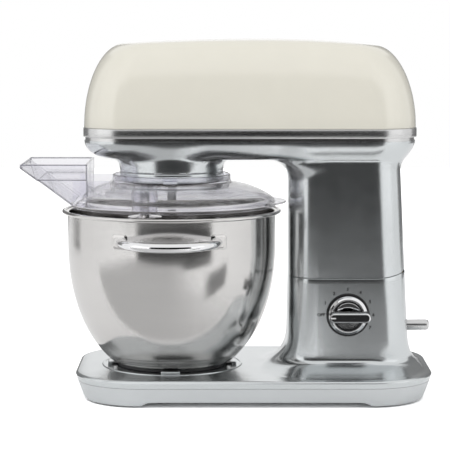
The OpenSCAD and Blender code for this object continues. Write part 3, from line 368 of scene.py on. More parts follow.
def surface_net(name, field, xs, ys, zs):
    """Skin where a field is zero: one point in each grid cell that it crosses, moved onto the surface."""
    grid = np.meshgrid(xs, ys, zs, indexing="ij")
    f = field(*grid)
    cells = tuple(s - 1 for s in f.shape)
    total, count, crossings = np.zeros(cells + (3,)), np.zeros(cells), []
    for axis in range(3):
        lag, lead = [slice(None)] * 3, [slice(None)] * 3
        lag[axis], lead[axis] = slice(None, -1), slice(1, None)
        lag, lead = tuple(lag), tuple(lead)
        a, b = f[lag], f[lead]
        crossed = (a < 0) != (b < 0)
        share = np.where(crossed, a / np.where(crossed, a - b, 1), 0)
        point = np.stack([g[lag] + share * (g[lead] - g[lag]) for g in grid], -1)
        others = [k for k in range(3) if k != axis]
        for corner in ((0, 0), (0, 1), (1, 0), (1, 1)):
            part = [slice(None)] * 3
            for o, c in zip(others, corner):
                part[o] = slice(c, cells[o] + c)
            hit = crossed[tuple(part)]
            count += hit
            total += np.where(hit[..., None], point[tuple(part)], 0)
        crossings.append((others, crossed))
    used = count > 0
    index = -np.ones(cells, int)
    index[used] = np.arange(used.sum())
    points = total[used] / count[used][:, None]
    faces = []
    for others, crossed in crossings:
        for at in np.argwhere(crossed):
            if any(at[o] < 1 or at[o] > cells[o] - 1 for o in others):
                continue
            ring = []
            for step in ((-1, -1), (0, -1), (0, 0), (-1, 0)):
                cell = at.copy()
                cell[others] += step
                ring.append(index[tuple(cell)])
            faces.append(ring)
    for _ in range(5):
        slope = gradient(field, points)
        steepness = np.maximum((slope ** 2).sum(1), 0.05)
        points = points - slope * (field(*points.T) / steepness)[:, None]
    return raw(name, points, faces)


def trim_plane(ob, z, keep_above):
    """Cuts an object at a height and closes it there."""
    with edited(ob) as bm:
        everything = bm.verts[:] + bm.edges[:] + bm.faces[:]
        bmesh.ops.bisect_plane(bm, geom=everything, dist=1e-7, plane_co=(0, 0, z * MM),
                               plane_no=(0, 0, -1 if keep_above else 1), clear_outer=True)
        rim = [e for e in bm.edges if len(e.link_faces) == 1]
        bmesh.ops.holes_fill(bm, edges=rim, sides=0)
        bmesh.ops.recalc_face_normals(bm, faces=bm.faces)


# ---- materials

def put(nodes, kind, **values):
    """A new node, with values for its inputs."""
    node = nodes.new("ShaderNode" + kind)
    for key, value in values.items():
        node.inputs[key].default_value = value
    return node


def wire(source, out, target, into):
    """Links one node's output to another's input."""
    source.id_data.links.new(source.outputs[out], target.inputs[into])


def ramp(nodes, *stops):
    """A colour ramp with two stops, each a place and a colour."""
    node = put(nodes, "ValToRGB")
    for end, (place, colour) in zip(node.color_ramp.elements, stops):
        end.position, end.color = place, (*colour, 1)
    return node


def noise(nodes, scale, stretch=(1, 1, 1), detail=4.0):
    """Noise in the piece's own coordinates, with its scale per metre."""
    mapping = put(nodes, "Mapping", Scale=stretch)
    tex = put(nodes, "TexNoise", Scale=scale, Detail=detail, Roughness=0.55)
    wire(put(nodes, "TexCoord"), "Object", mapping, "Vector")
    wire(mapping, "Vector", tex, "Vector")
    return tex


def map_range(nodes, low, high, start=0.0, end=1.0):
    """A node that takes values from start to end over to values from low to high."""
    return put(nodes, "MapRange", **{"From Min": start, "From Max": end, "To Min": low, "To Max": high})


def bare_material(name):
    """A material with nothing but its output, and its nodes."""
    mat = bpy.data.materials.new(name)
    mat.use_nodes = True
    nodes = mat.node_tree.nodes
    nodes.remove(nodes["Principled BSDF"])
    return mat, nodes


def finish(name, colour, metallic, rough, grain, mottle=0.03, spread=0.04, stretch=(1, 1, 1), **more):
    """A finish from nodes: mottle and spread are how far colour and roughness vary over a cloud of noise,
    and each layer of grain is (scale per metre, depth in mm, stretch if any)."""
    mat = bpy.data.materials.new(name)
    mat.use_nodes = True
    nodes = mat.node_tree.nodes
    shader = nodes["Principled BSDF"]
    shader.inputs["Metallic"].default_value = metallic
    for key, value in more.items():
        shader.inputs[key.replace("_", " ")].default_value = value
    shades = [[min(c * k, 1) for c in colour] for k in (1 - mottle, 1 + mottle)]
    tint = ramp(nodes, *zip(NOISE_ENDS, shades))
    wire(noise(nodes, CLOUD, stretch), "Fac", tint, "Fac")
    wire(tint, "Color", shader, "Base Color")
    spreader = map_range(nodes, max(rough - spread, 0.0), rough + spread, *NOISE_ENDS)
    wire(noise(nodes, CLOUD * 3.1, stretch), "Fac", spreader, "Value")
    wire(spreader, "Result", shader, "Roughness")
    last = None
    for scale, depth, *along in grain:
        bump = put(nodes, "Bump", Distance=depth * MM, Strength=1.0)
        wire(noise(nodes, scale, *along, detail=2.0), "Fac", bump, "Height")
        if last:
            wire(last, "Normal", bump, "Normal")
        last = bump
    wire(last, "Normal", shader, "Normal")
    return mat


CLOUD = 25.0  # scale per metre of the noise in a finish
NOISE_ENDS = (0.3, 0.7)  # share of the noise over which a finish varies
ROUND = (0.01, 0.01, 1)  # lines around a vertical axis
SILVER_GRAIN = [(3000, 0.002), (90, 0.006)]
CLEAR = (0.89, 0.885, 0.925)

FINISHES = {
    "cast_silver": finish("satin_silver_paint", (0.61, 0.635, 0.645), 0.97, 0.2, SILVER_GRAIN, 0.015, 0.02),
    "tray_silver": finish("silver_plastic", (0.60, 0.62, 0.63), 0.92, 0.3, SILVER_GRAIN, 0.015, 0.02),
    "trim_steel": finish("satin_trim", (0.62, 0.62, 0.62), 1.0, 0.24, [(900, 0.003, (0.02, 0.02, 1))],
                         stretch=(0.1, 0.1, 1)),
    "cover_cream": finish("cream_gloss", (0.78, 0.755, 0.665), 0.0, 0.18, [(90, 0.006), (1500, 0.001)],
                          0.012, 0.03, Coat_Weight=0.6, Coat_Roughness=0.13),
    "rubber": finish("rubber", (0.02, 0.02, 0.021), 0.0, 0.7, [(1800, 0.02)], 0.15),
    "screw_steel": finish("turned_steel", (0.58, 0.58, 0.59), 1.0, 0.3, [(2200, 0.004, (0.05, 0.05, 1))]),
    "cast_iron": finish("cast_iron", (0.06, 0.063, 0.068), 0.7, 0.5, [(700, 0.05)], 0.2, 0.1),
    "brass": finish("sintered_brass", (0.5, 0.35, 0.14), 1.0, 0.36, [(1500, 0.01)], 0.1),
    "pressed_steel": finish("pressed_steel", (0.30, 0.30, 0.31), 1.0, 0.38, [(1100, 0.01)], 0.08),
    "black_gloss": finish("black_gloss", (0.009, 0.009, 0.010), 0.0, 0.17, [(500, 0.004)], 0.1),
    "black_plastic": finish("black_plastic", (0.018, 0.018, 0.02), 0.0, 0.42, [(1600, 0.02)], 0.1),
    "board_green": finish("solder_mask", (0.01, 0.09, 0.035), 0.0, 0.35, [(400, 0.02)], 0.2),
    "chrome": finish("chrome", (0.80, 0.80, 0.81), 1.0, 0.06, [(60, 0.004)], 0.01, 0.015),
    "copper": finish("copper_winding", (0.55, 0.24, 0.12), 1.0, 0.35, [(1500, 0.12, (0.1, 0.1, 1))], 0.1),
    "carbon": finish("carbon", (0.02, 0.02, 0.02), 0.1, 0.6, [(1200, 0.03)], 0.2),
    "gear_steel": finish("gear_steel", (0.32, 0.32, 0.33), 1.0, 0.34, [(1300, 0.01)], 0.06),
    "clear_plastic": finish("clear_plastic", CLEAR, 0.0, 0.02, [(40, 0.008)], 0.01, 0.01, Alpha=0.75,
                            Transmission_Weight=1.0, IOR=1.25, Coat_Weight=0.3, Coat_Roughness=0.03),
    "bowl_steel": finish("polished_bowl_steel", (0.62, 0.61, 0.60), 1.0, 0.14, [(1400, 0.0035, ROUND)],
                         0.02, 0.03, stretch=(0.2, 0.2, 1.5)),
}


def tint_and_shade_edges(mat, face, edge):
    """Darker colour where a clear wall is seen along its surface: partly the tint of thick plastic, partly
    painted shade for the dark rims that bent light gives it.
    """
    nodes = mat.node_tree.nodes
    tint = ramp(nodes, (0.72, face), (0.9, edge))
    wire(put(nodes, "LayerWeight", Blend=0.5), "Facing", tint, "Fac")
    wire(tint, "Color", nodes["Principled BSDF"], "Base Color")


# The darker edge colour is partly painted shade, for the dark rims of clear plastic seen edge-on.
tint_and_shade_edges(FINISHES["clear_plastic"], CLEAR, (0.40, 0.40, 0.46))
# Dark grey for the beads along the spout's edges: painted shade, for the dark lines that bent light draws
# where clear plastic is seen edge-on.
CLEAR_EDGE_SHADE = finish("clear_edge_shade", (0.30, 0.30, 0.345), 0.0, 0.12, [(40, 0.004)], 0.05, Alpha=0.62)
MARK_WHITE = finish("index_mark", (0.7, 0.7, 0.7), 0.0, 0.4, [(1500, 0.003)])
PRINT_GREY = finish("dial_print", (0.025, 0.025, 0.027), 0.0, 0.45, [(1500, 0.003)], 0.1)

for part in frame["record"]["subparts"]:
    node = frame["nodes"][part["node"]]
    node.data.materials.clear()
    node.data.materials.append(FINISHES[part["material_slot"]])


# ---- outlines that pieces share

def base_ring(z, inset=0.0):
    """Outline of the base, whose side leans in towards the table."""
    lean = BASE_LEAN * (max(DECK_Z - z, 0) / DECK_Z) ** 1.2 + inset
    return level(plan(BASE_X0 + lean, BASE_X1 - lean, BASE_HW - lean, BASE_R - lean), z)


def column_ring(share, z, inset=0.0, height=None):
    """Outline of the stand's column with a share of its flare, drawn at a height. The two flat sides stay
    upright for longer than the front."""
    down = max(SEAM_Z - z, 0) / (SEAM_Z - DECK_Z)
    side = share ** 4 if share < 1 else share
    return level(plan(COL_FRONT - FLARE_FRONT * share - SPLAY_FRONT * down + inset,
                      COL_REAR + SPLAY_REAR * down + FLARE_REAR * share - inset,
                      COL_HW + FLARE_SIDE * side - inset,
                      COL_R + (BASE_R - COL_R) * share - inset), z if height is None else height)


def seam_step(x):
    """Rise of the seam towards the hinge."""
    return STEP_H * np.clip((x - RISE_X) / (HINGE[0] - RISE_X), 0, 1) ** 2.2


def towards(ring, centre, share):
    """A ring drawn towards a centre."""
    return np.asarray(centre) + (ring - np.asarray(centre)) * share


def rear_at(z):
    """Rear face of the arm's column, which leans forward."""
    return COL_REAR - COL_LEAN * (z - SEAM_Z) / (BEND_Z - SEAM_Z)


def arm_rear(z):
    """Rear face of the arm, swept out to the head above its bend."""
    out = HEAD_X1 - 1.5 - rear_at(BEND_Z)
    return rear_at(np.minimum(z, BEND_Z)) + out * smoothstep(BEND_Z, TRIM_Z, z)


def under(z):
    """Share by which the head's underside is rounded at a height."""
    t = np.clip((TRIM_Z - z) / UNDER_H, 0, 0.97)
    return 1 - np.sqrt(np.maximum(1 - t * t, 0))


def tray_plan(z):
    """Front, rear, half width and corner of the head's tray at a height."""
    u = under(z)
    return (HEAD_X0 + TRAY_IN + UNDER_FRONT * u, arm_rear(z), HEAD_HW - TRAY_IN - UNDER_SIDE * u,
            PLAN_R - UNDER_R * u)


def tray_ring(z, inset=0.0):
    """Outline of the head's tray at a height."""
    x0, x1, hw, r = (float(v) for v in tray_plan(z))
    return level(plan(x0 + inset, x1 - inset, hw - inset, r - inset), z)


# ---- stand

def stand_rings():
    """Rings of the stand from under the deck's edge over the flare to the middle of the column's top."""
    rings = [base_ring(z) for z in np.linspace(TRAY_TOP + TRAY_GAP, DECK_Z - EDGE_R, 5)]
    for a in np.radians(np.linspace(0, 90, 8))[1:]:
        rings.append(base_ring(DECK_Z, EDGE_R * (1 - math.cos(a))))
        rings[-1][:, 2] -= EDGE_R * (1 - math.sin(a))
    flare_end, flare_turn = 1.093, 0.9  # shares where the flare meets the deck and where it steepens
    edge, foot = rings[-1], column_ring(flare_end, DECK_Z)
    rings += [edge + (foot - edge) * t for t in (0.06, 0.35, 0.7, 0.93)]
    for share in np.linspace(flare_end, flare_turn, 6):
        rings.append(column_ring(share, DECK_Z + 37.05 * (flare_end - share) ** 2))
    for q in np.linspace(flare_turn ** (1 / 3), 0, 24)[1:]:
        rings.append(column_ring(q ** 3, DECK_Z + FLARE_H * (1 - q)))
    top_r, rise_z = 0.8, 100  # rounding of the seam's edge, and where the walls start to follow its rise
    for z in np.linspace(DECK_Z + FLARE_H, STAND_TOP - top_r, 12)[1:]:
        rings.append(column_ring(0, z))
    for a in np.radians((30, 60, 90)):
        rings.append(column_ring(0, STAND_TOP - top_r * (1 - math.sin(a)), top_r * (1 - math.cos(a))))
    top, middle = rings[-1], ((COL_FRONT + COL_REAR) / 2, 0, STAND_TOP)
    rings += [towards(top, middle, share) for share in (0.8, 0.5, 0.2, 0.03)]
    for ring in rings:
        ring[:, 2] += seam_step(ring[:, 0]) * np.clip((ring[:, 2] - rise_z) / (STAND_TOP - rise_z), 0, 1)
    return rings


def stand_room():
    """The hollow inside the stand, open at the bottom."""
    rings = [base_ring(z, WALL) for z in (DECK_Z - 9, DECK_Z - WALL)]
    rings[0][:, 2] = TRAY_TOP - 1
    for q in np.linspace(0.985, 0, 10):
        height = DECK_Z + FLARE_H * (1 - q) - WALL + 0.2
        rings.append(column_ring(q ** 3, height + WALL, WALL, height))
    rings.append(column_ring(0, STAND_TOP, WALL, STAND_TOP - WALL))
    return loft("cavity", rings)


def make_stand():
    cutters = [stand_room(), drill(SEAT_R + 0.1, DECK_Z - 2, DECK_Z + 2, BOWL_AXIS, 192),
               drill(66, TRAY_TOP - 2, DECK_Z + 2, BOWL_AXIS, 96)]
    cutters.append(box("striker_slot", (113, -11, STAND_TOP - PAST), (145, 11, STAND_TOP + PAST)))
    notch_x, notch_top = HINGE[0] - NOTCH_R, HINGE[2] + PAST
    cutters.append(box("barrel_notch", (notch_x, -NOTCH_HW, HINGE[2] - NOTCH_R),
                       (COL_REAR + PAST, NOTCH_HW, notch_top)))
    cutters.append(box("ear_notch", (notch_x, -NOTCH_HW, STAND_TOP - PAST),
                       (COL_REAR - WALL + 0.1, NOTCH_HW, notch_top)))
    a = np.radians(np.linspace(0, 180, 17))
    high, fall, r = ROD_LO[2] + 5.6, 8.6, 6.4  # slot in which the release rod moves
    capsule = [(r * math.cos(t), high + r * math.sin(t)) for t in a]
    capsule += [(-r * math.cos(t), high - fall - r * math.sin(t)) for t in a]
    cutters.append(slab("rod_slot", capsule, COL_REAR - 20, COL_REAR + 20, "x"))
    cutters.append(drill(4, -PAST, PAST, (KNOB_X, FACE_Y, KNOB_Z), axis="-y"))
    cutters.append(drill(2.2, STAND_TOP - PAST, STAND_TOP + PAST, (85, 22, 0), 32))
    body = cut(loft("housing_stand", stand_rings()), *cutters)
    dress(body, "stand", "cast_silver", ["stand_housing"])


def make_tray():
    z0, z1 = FOOT_DROP, TRAY_TOP - TRAY_GAP
    rings = [base_ring(z0 + 0.6, 0.5), base_ring(z0 + 1.2)]
    rings[0][:, 2] = z0
    rings += [base_ring(z) for z in np.linspace(z0 + 1.6, z1, 9)]
    body = loft("tray_base", rings)
    skirt = loft("skirt", [level(base_ring(z0, WALL)[:, :2], z) for z in (z0 - 0.5, z0 + 4)])
    room = loft("room", [base_ring(z, WALL) for z in (z0 + 7, TRAY_TOP + 2)])
    middle = (BASE_X0 + BASE_X1) / 2
    x0, x1 = middle - 114, middle + 118
    steps = [(-3, -1), (0, 1), (6, 3.6), (12, 4)]
    outline = [(x0 + x, z0 + z) for x, z in steps] + [(x1 - x, z0 + z) for x, z in steps[::-1]]
    arch = slab("arch", outline, -BASE_HW - PAST, BASE_HW + PAST)
    cut(body, skirt, room, arch)
    dress(body, "stand", "tray_silver", ["base_tray"])


def make_seat():
    floor_z = DECK_Z - 1.5
    outline = [(0, SEAT_LO[2]), (65.7, SEAT_LO[2]), (65.7, DECK_Z - 2), (SEAT_R, DECK_Z - 2),
               (SEAT_R, DECK_Z + 0.7), (72.2, DECK_Z + 0.7), (71.5, DECK_Z), (49, DECK_Z), (48.5, floor_z),
               (0, floor_z)]
    body = lathe("seat_disc", rounded(outline, 0.7), BOWL_AXIS, 192)
    for a in QUARTERS:
        wall = sector("catch_wall", 64, 68, DECK_Z - 0.1, SEAT_HI[2], a, 8.2)
        lip = sector("catch_lip", 61.8, 64.3, SEAT_HI[2] - 1, SEAT_HI[2], a, 8.2)
        join(body, soften(cut(wall, lip, operation="UNION"), 0.35))
    dress(body, "stand", "cast_silver", ["bowl_seat"])


# ---- dial and rod

def make_dial():
    """Bezel, disc, dish and ring of the knob, from the column outwards."""
    centre = (KNOB_X, FACE_Y, KNOB_Z)
    outline = rounded([(4, 0), (22.5, 0), (22.4, 1.2), (21.7, 2), (4, 2)], 0.5)
    bezel = lathe("dial_plate", outline, centre, closed=True, axis="-y")
    dress(bezel, "stand", "black_gloss", ["dial_bezel"], 40)
    stem_r, disc_r, dish_r, ring_low, ring_high, ring_r = 3, 15.5, 13.2, 2.4, 8, 15.7
    outline = [(0, -26), (stem_r, -26), (stem_r, ring_low), (disc_r, ring_low), (disc_r, 7.2), (15, 7.6),
               (13.9, 7.6), (13.7, 4), (0, 4)]
    disc = lathe("knob_base", rounded(outline, 0.4), centre, axis="-y")
    dress(disc, "knob", "black_gloss", ["knob_disc"], 40)
    dish = [(r, 4 + 4 * (r / dish_r) ** 1.3) for r in np.linspace(0, dish_r, 20)]
    rim = [(0, 3.5), (13.6, 3.5), (13.6, 7.8), (13.4, 8.0)]
    dress(lathe("knob_dish", rim + dish[::-1], centre, axis="-y"), "knob", "chrome", (), 40)
    outline = [(ring_r, 5), (ring_r, ring_low), (20, ring_low), (20, 4.7), (17.2, ring_high),
               (ring_r, ring_high), (ring_r, 5)]
    ring = lathe("knob_bezel", rounded(outline, 0.4), centre, closed=True, axis="-y")
    dress(ring, "knob", "chrome", ["knob_ring"], 50)


def make_grip():
    """The bar across the knob, with bright lines at its foot and edge and a white mark."""
    x0, x1, hw, end_r = GRIP_LO[0] - KNOB_X, GRIP_HI[0] - KNOB_X, (GRIP_HI[2] - GRIP_LO[2]) / 2, 4.4
    low, high = FACE_Y - GRIP_HI[1], FACE_Y - GRIP_LO[1]

    def bars(name, *steps, fit=None):
        """Loft outwards from the column, from pairs of inset and height, or of a given outline."""
        rings = []
        for inset, h in steps:
            taper = 0.06 * (h - low)
            own = plan(x0 + inset, x1 - inset - taper, hw - inset, end_r - inset, 10, 4)
            rings.append(level(own if fit is None else fit, h))
        ob = loft(name, rings)
        place = Matrix.Translation(Vector((KNOB_X, FACE_Y, KNOB_Z)) * MM)
        ob.data.transform(place @ Matrix.Rotation(math.pi / 2, 4, "X"))
        return ob

    grip = bars("grip_bar", (0.3, low), (0.3, high - 1.6), (1.1, high - 1.4), (1.1, high - 0.3),
                (1.35, high), (2.5, high))
    dress(grip, "knob", "black_gloss", ["knob_grip"])
    foot_line = bars("grip_frame", (-0.5, low + 0.1), (-0.55, low + 0.5), (-0.3, low + 1.3), (0.4, low + 1.5))
    edge_line = bars("grip_edge", (0.35, high - 2.2), (-0.3, high - 2), (-0.25, high - 1.3),
                     (0.85, high - 0.1), (1.15, high - 0.1))
    dress(join(foot_line, edge_line), "knob", "chrome", (), 40)
    mark = bars("grip_mark", (0, high - 0.5), (0, high + 0.04), fit=plan(x0 + 0.9, x0 + 5.8, 0.65, 0.5, 6, 2))
    dress(mark, "knob", "trim_steel", (), 40, MARK_WHITE)


def numeral(text, angle):
    """One word or number of the dial, printed on the column at an angle from the knob."""
    word = text == "OFF"
    curve = bpy.data.curves.new("numeral", "FONT")
    curve.body, curve.size = text, 4.6 * MM
    curve.align_x, curve.align_y = ("RIGHT" if word else "CENTER"), "CENTER"
    curve.extrude, curve.offset, curve.resolution_u = 0.05 * MM, 0.2 * MM, 6
    ob = add("numeral", curve)
    mesh = worked_out(ob)
    bpy.data.objects.remove(ob)
    a, reach = math.radians(angle), 23.6 if word else 26.5
    place = Vector((KNOB_X + reach * math.cos(a), FACE_Y - 0.04, KNOB_Z + reach * math.sin(a))) * MM
    mesh.transform(Matrix.Translation(place) @ Matrix.Rotation(math.pi / 2, 4, "X"))
    return add("dial_numerals", mesh)


def make_numerals():
    first, *others = [numeral(text, angle) for text, angle in DIAL]
    dress(join(first, *others), "stand", "black_plastic", (), 40, PRINT_GREY)


def make_rod():
    x0, x1, r, tip_r = ROD_LO[0], ROD_HI[0], (ROD_HI[2] - ROD_LO[2]) / 2, 3.2
    profile = [(0, x0), (r - 0.5, x0), (r, x0 + 0.5), (r, x1 - tip_r)]
    profile += [(r - tip_r + tip_r * math.cos(a), x1 - tip_r + tip_r * math.sin(a))
                for a in np.radians((20, 40, 60, 78, 90))]
    rod = lathe("lift_rod", profile + [(0, x1)], (0, 0, (ROD_HI[2] + ROD_LO[2]) / 2), 64, axis="x")
    dress(rod, "latch", "trim_steel", ["release_rod"], 45)


# ---- head

def arm_field(x, y, z):
    """Distance from the arm's casting: head tray, column and neck, blended where they meet."""
    edge_r, neck_edge_r, fillet, front_fillet, front_end = 5, 2.5, 12, 14, 107
    tray = blend_max(plan_distance(x, y, *tray_plan(z)), ARM_Z - z, edge_r)
    column = plan_distance(x, y, COL_FRONT, rear_at(z), COL_HW, COL_R)
    body = blend_min(tray, column, fillet + front_fillet * (1 - smoothstep(COL_FRONT, front_end, x)))
    neck = blend_max(np.hypot(x - BOWL_X, y) - NECK_R, NECK_Z - z, neck_edge_r)
    return blend_min(body, neck, fillet)


def make_arm():
    step = 2.01
    xs = np.arange(HEAD_X0 - 4, HEAD_X1 + 6, step)
    ys = np.arange(-60.3, 60.31, step)
    zs = ARM_BOTTOM + step * np.arange(-2, 73)
    body = surface_net("housing_arm", arm_field, xs, ys, zs)
    trim_plane(body, TRIM_Z, False)
    trim_plane(body, ARM_BOTTOM, True)
    relief, blend_h = math.tan(math.radians(36)), 30  # room behind the hinge for the tilt, faded out upwards
    for v in body.data.vertices:
        x, _, z = v.co / MM
        rise = float(seam_step(x)) + max(x - HINGE[0], 0) * relief
        v.co.z += rise * MM * max(1 - (z - ARM_BOTTOM) / blend_h, 0)
    top = level(tray_ring(TRIM_Z, WALL)[:, :2], TRIM_Z + 2)
    tray = loft("tray_room", [tray_ring(z, WALL) for z in np.linspace(ARM_Z + WALL, TRIM_Z, 8)] + [top])
    column = loft("column_room", [
        level(plan(COL_FRONT + WALL, rear_at(z) - WALL, COL_HW - WALL, COL_R - WALL), z)
        for z in (138, 190, BEND_Z, TRIM_Z - 5)])
    floor_plan = plan(COL_FRONT + 12, STEP_X - 12, COL_HW - 5, COL_R - 8)
    floor = loft("floor_room", [level(floor_plan, z) for z in (ARM_BOTTOM + WALL, 139)])
    inside = NECK_R - WALL - 0.2
    bore = drill(inside, NECK_Z - PAST, 244, BOWL_AXIS, 128)
    rise = drill(inside, ARM_Z + WALL, 272, BOWL_AXIS, 128)
    shaft, lay = drill(11, 240, 262, BOWL_AXIS), drill(8, 240, 262, (-19, 0, 0))
    notch = box("notch", (HINGE[0] - NOTCH_R, -NOTCH_HW, STAND_TOP - PAST),
                (COL_REAR + PAST, NOTCH_HW, HINGE[2] + NOTCH_R))
    cut(body, tray, column, floor, bore, rise, shaft, lay, notch)
    outline = [(53.5, 234), (52.8, 233), (52.8, 224), (54.2, 224), (54.2, 233), (53.5, 234)]
    join(body, lathe("skirt", rounded(outline, 0.4), BOWL_AXIS, 192, closed=True))
    join(body, *[sector("lug", 53.9, 57.8, 224, 226.5, a, 7) for a in THIRDS])
    dress(body, "head", "cast_silver", ["arm_housing"], 32)


def crown(x, u):
    """Fall of the cover's crown at x, to the front and to the rear."""
    t, front_fall, front_len, rear_fall, rear_len = x - CROWN_X, 4, 150, 7, 126
    return u * np.where(t < 0, front_fall * (t / front_len) ** 2, rear_fall * (t / rear_len) ** 2)


def cover_plan(u, inset):
    """Outline of the head's cover, which leans in at its ends and turns in at its sides."""
    end_r, side_r, corner_fall = 41, 24, 14
    sides = 1 - (1 - u ** 3) ** (1 / 3)
    x_in = COVER_IN + end_r * (1 - math.sqrt(max(1 - u * u, 0))) + inset
    return plan(HEAD_X0 + x_in, HEAD_X1 - x_in, HEAD_HW - COVER_IN - side_r * sides - inset,
                PLAN_R - corner_fall * sides - inset)


def cover_rings(inset, shares):
    """Rings of the cover from its rim over its side to the middle of its crown."""
    rings = []
    for u in shares:
        ring = cover_plan(u, inset)
        rings.append(level(ring, COVER_Z + (COVER_H - 1 - inset) * u - crown(ring[:, 0], u)))
    top = cover_plan(1, inset)
    for k in (0.985, 0.95, 0.88, 0.75, 0.55, 0.35, 0.15, 0.03):
        ring = towards(top, (CROWN_X, 0), k)
        rings.append(level(ring, COVER_Z + COVER_H - inset - k * k - crown(ring[:, 0], 1)))
    return rings


def make_cover():
    shares = np.sin(np.radians(np.linspace(0, 90, 30))) ** (2 / 3)
    outer = cover_rings(0, shares)
    outer[:1] = [level(cover_plan(0, i), COVER_Z + rise) for i, rise in ((0.7, 0), (0.2, 0.2), (0, 0.8))]
    body = loft("cover_head", outer)
    room = cover_rings(COVER_WALL, shares[::2])
    room[0] = level(room[0][:, :2], COVER_Z - 1)
    cut(body, loft("cover_room", room))
    dress(body, "head", "cover_cream", ["head_cover"])

    def band(inset, z):
        return level(plan(HEAD_X0 + inset, HEAD_X1 - inset, HEAD_HW - inset, PLAN_R - inset), z)

    low, mid = tray_ring(TRIM_Z, 1)[:, :2], TRIM_Z + 3.5
    rings = [level(low, TRIM_Z), level(low, mid), band(1, mid), band(0.3, mid + 0.2), band(0, mid + 0.9),
             band(0, COVER_Z - 1.2), band(0.3, COVER_Z - 0.4), band(1, COVER_Z), band(4, COVER_Z),
             tray_ring(TRIM_Z, WALL)]
    dress(loft("trim_band", rings, closed=True), "head", "trim_steel", ["head_trim"])


# ---- drive and tool

def make_hub():
    z0, z1, r = upright("planet_carrier")
    outline = [(0, z0), (34, z0), (35, z0 + 0.8), (46, z0 + 0.8), (47, z0), (r - 0.2, z0), (r, z0 + 3),
               (r, z1), (0, z1)]
    hub = lathe("hub_cap", rounded(outline, 1.5), BOWL_AXIS, 160)
    cut(hub, drill(8, z0 - 3, z1 + 3, TOOL_AXIS), drill(6, z0 - 3, z1 + 3, BOWL_AXIS))
    dress(hub, "hub", "black_gloss", ["planet_carrier"])
    z0, z1, r = upright("hub_bolt")
    outline = [(0, z0), (4.7, z0), (4.7, z1 - 6), (r, z1 - 6), (r, z1), (0, z1)]
    dress(lathe("hub_screw", rounded(outline, 0.8), BOWL_AXIS, 64), "hub", "screw_steel", ["hub_bolt"], 40)

    z0, z1, r = upright("output_shroud")
    outline = [(5, z0 + 20), (5, z1), (9, z1), (12.5, z0 + 22), (r, z0 + 14), (r - 1, z0), (r - 3, z0),
               (r - 2.4, z0 + 13), (11, z0 + 20)]
    bell = lathe("tool_bell", rounded(outline, 2.2), TOOL_AXIS, 96, closed=True)
    dress(bell, "tool", "clear_plastic", ["output_shroud"], 40)
    z0 = DISC_LO[2]
    outline = [(5, z0), (8, z0), (18, z0 + 1), (18, z0 + 2), (8, z0 + 3.5), (5, z0 + 5)]
    disc = lathe("tool_disc", rounded(outline, 0.8), TOOL_AXIS, 96, closed=True)
    dress(disc, "tool", "bowl_steel", ["hook_guard"], 40)

    end, bottom, reach, rod_r, shank_r, neck_r = HOOK_HI[2] - 15, HOOK_LO[2] + 5, 24.0, 5.5, 5, 2.95
    top = end - 22
    t = np.linspace(0, 1, 110)
    r = reach * np.sin(np.radians(172 * t ** 0.85)) ** 0.8
    a = np.radians(300 * t)
    path = np.column_stack((TOOL_X + r * np.cos(a), r * np.sin(a), top - (top - bottom) * t))
    path[:, 0] -= path[0, 0] - TOOL_X
    hook = tube("dough_spiral", path, rod_r * (1 - 0.15 * t))
    outline = [(0, top - 2), (shank_r, top - 2), (shank_r, end), (neck_r, end), (neck_r, HOOK_HI[2]),
               (0, HOOK_HI[2])]
    join(hook, lathe("shank", rounded(outline, 0.4), TOOL_AXIS, 48))
    dress(hook, "tool", "bowl_steel", ["dough_hook"], 40)


# ---- splash guard

def make_guard():
    collar, ring_out, top, low = 59.5, 62.0, GUARD_HI[2], GUARD_LO[2]
    guard_r, dome_z = GUARD_HI[1], GUARD_HI[2] - 9
    line = [(ring_out, dome_z), (80, dome_z - 2.5), (97, dome_z - 9.5), (guard_r - 2, dome_z - 16),
            (guard_r, low + 5.4)]
    outer = rounded([(ring_out, top)] + line + [(guard_r, low)], 14, 8)
    below = [(r - (CLEAR_WALL if r > 105 else 0), z - CLEAR_WALL) for r, z in reversed(line)]
    inner = rounded([(guard_r - CLEAR_WALL, low)] + below + [(collar, dome_z - 2 * CLEAR_WALL)], 14, 8)
    edge = rounded([tuple(inner[-1]), (collar, dome_z - 1), (collar, top - 0.8), (collar + 0.8, top),
                    tuple(outer[0] - (0.8, 0))], 0.3)
    outer[0] -= (0, 0.8)
    body = lathe("splash_dome", np.vstack((outer, inner, edge[1:])), BOWL_AXIS, 192, closed=True)
    under_dome = [(0, low - PAST), (guard_r - CLEAR_WALL, low - PAST), *inner[:-1], (0, dome_z - CLEAR_WALL)]
    feed_in, feed_out = BOWL_X - ring_out, BOWL_X - 100
    opening = box("feed_way", (feed_out - 20, -FEED_HW, low - PAST), (feed_in, FEED_HW, FEED_TOP + PAST))
    walls = box("feed_walls", (feed_out, -FEED_HW - CLEAR_WALL, low),
                (feed_in + CLEAR_WALL, FEED_HW + CLEAR_WALL, FEED_TOP))
    cut(walls, lathe("bowl_space", under_dome, BOWL_AXIS, 192),
        drill(ring_out - 0.5, low - 2, top + 3, BOWL_AXIS, 128))
    lip_r, lip_low = 63.0, low + 2.7
    outline = [(0, 0), (lip_r - 0.5, 0), (lip_r, 0.5), (lip_r, 1.5), (lip_r - 0.5, 2), (0, 2)]
    lip = lathe("lip", outline, (COL_FRONT - 2 - lip_r, 0, lip_low), 160)
    cut(lip, drill(guard_r - 0.5, low - 2, low + 20, BOWL_AXIS, 192))
    cut(body, walls, lip, operation="UNION")
    cut(body, opening)
    join(body, *[sector("tab", 55.0, 59.6, 226.8, 228.8, a, 7.5) for a in THIRDS])
    dress(body, "guard", "clear_plastic", ["splash_guard"], 30)


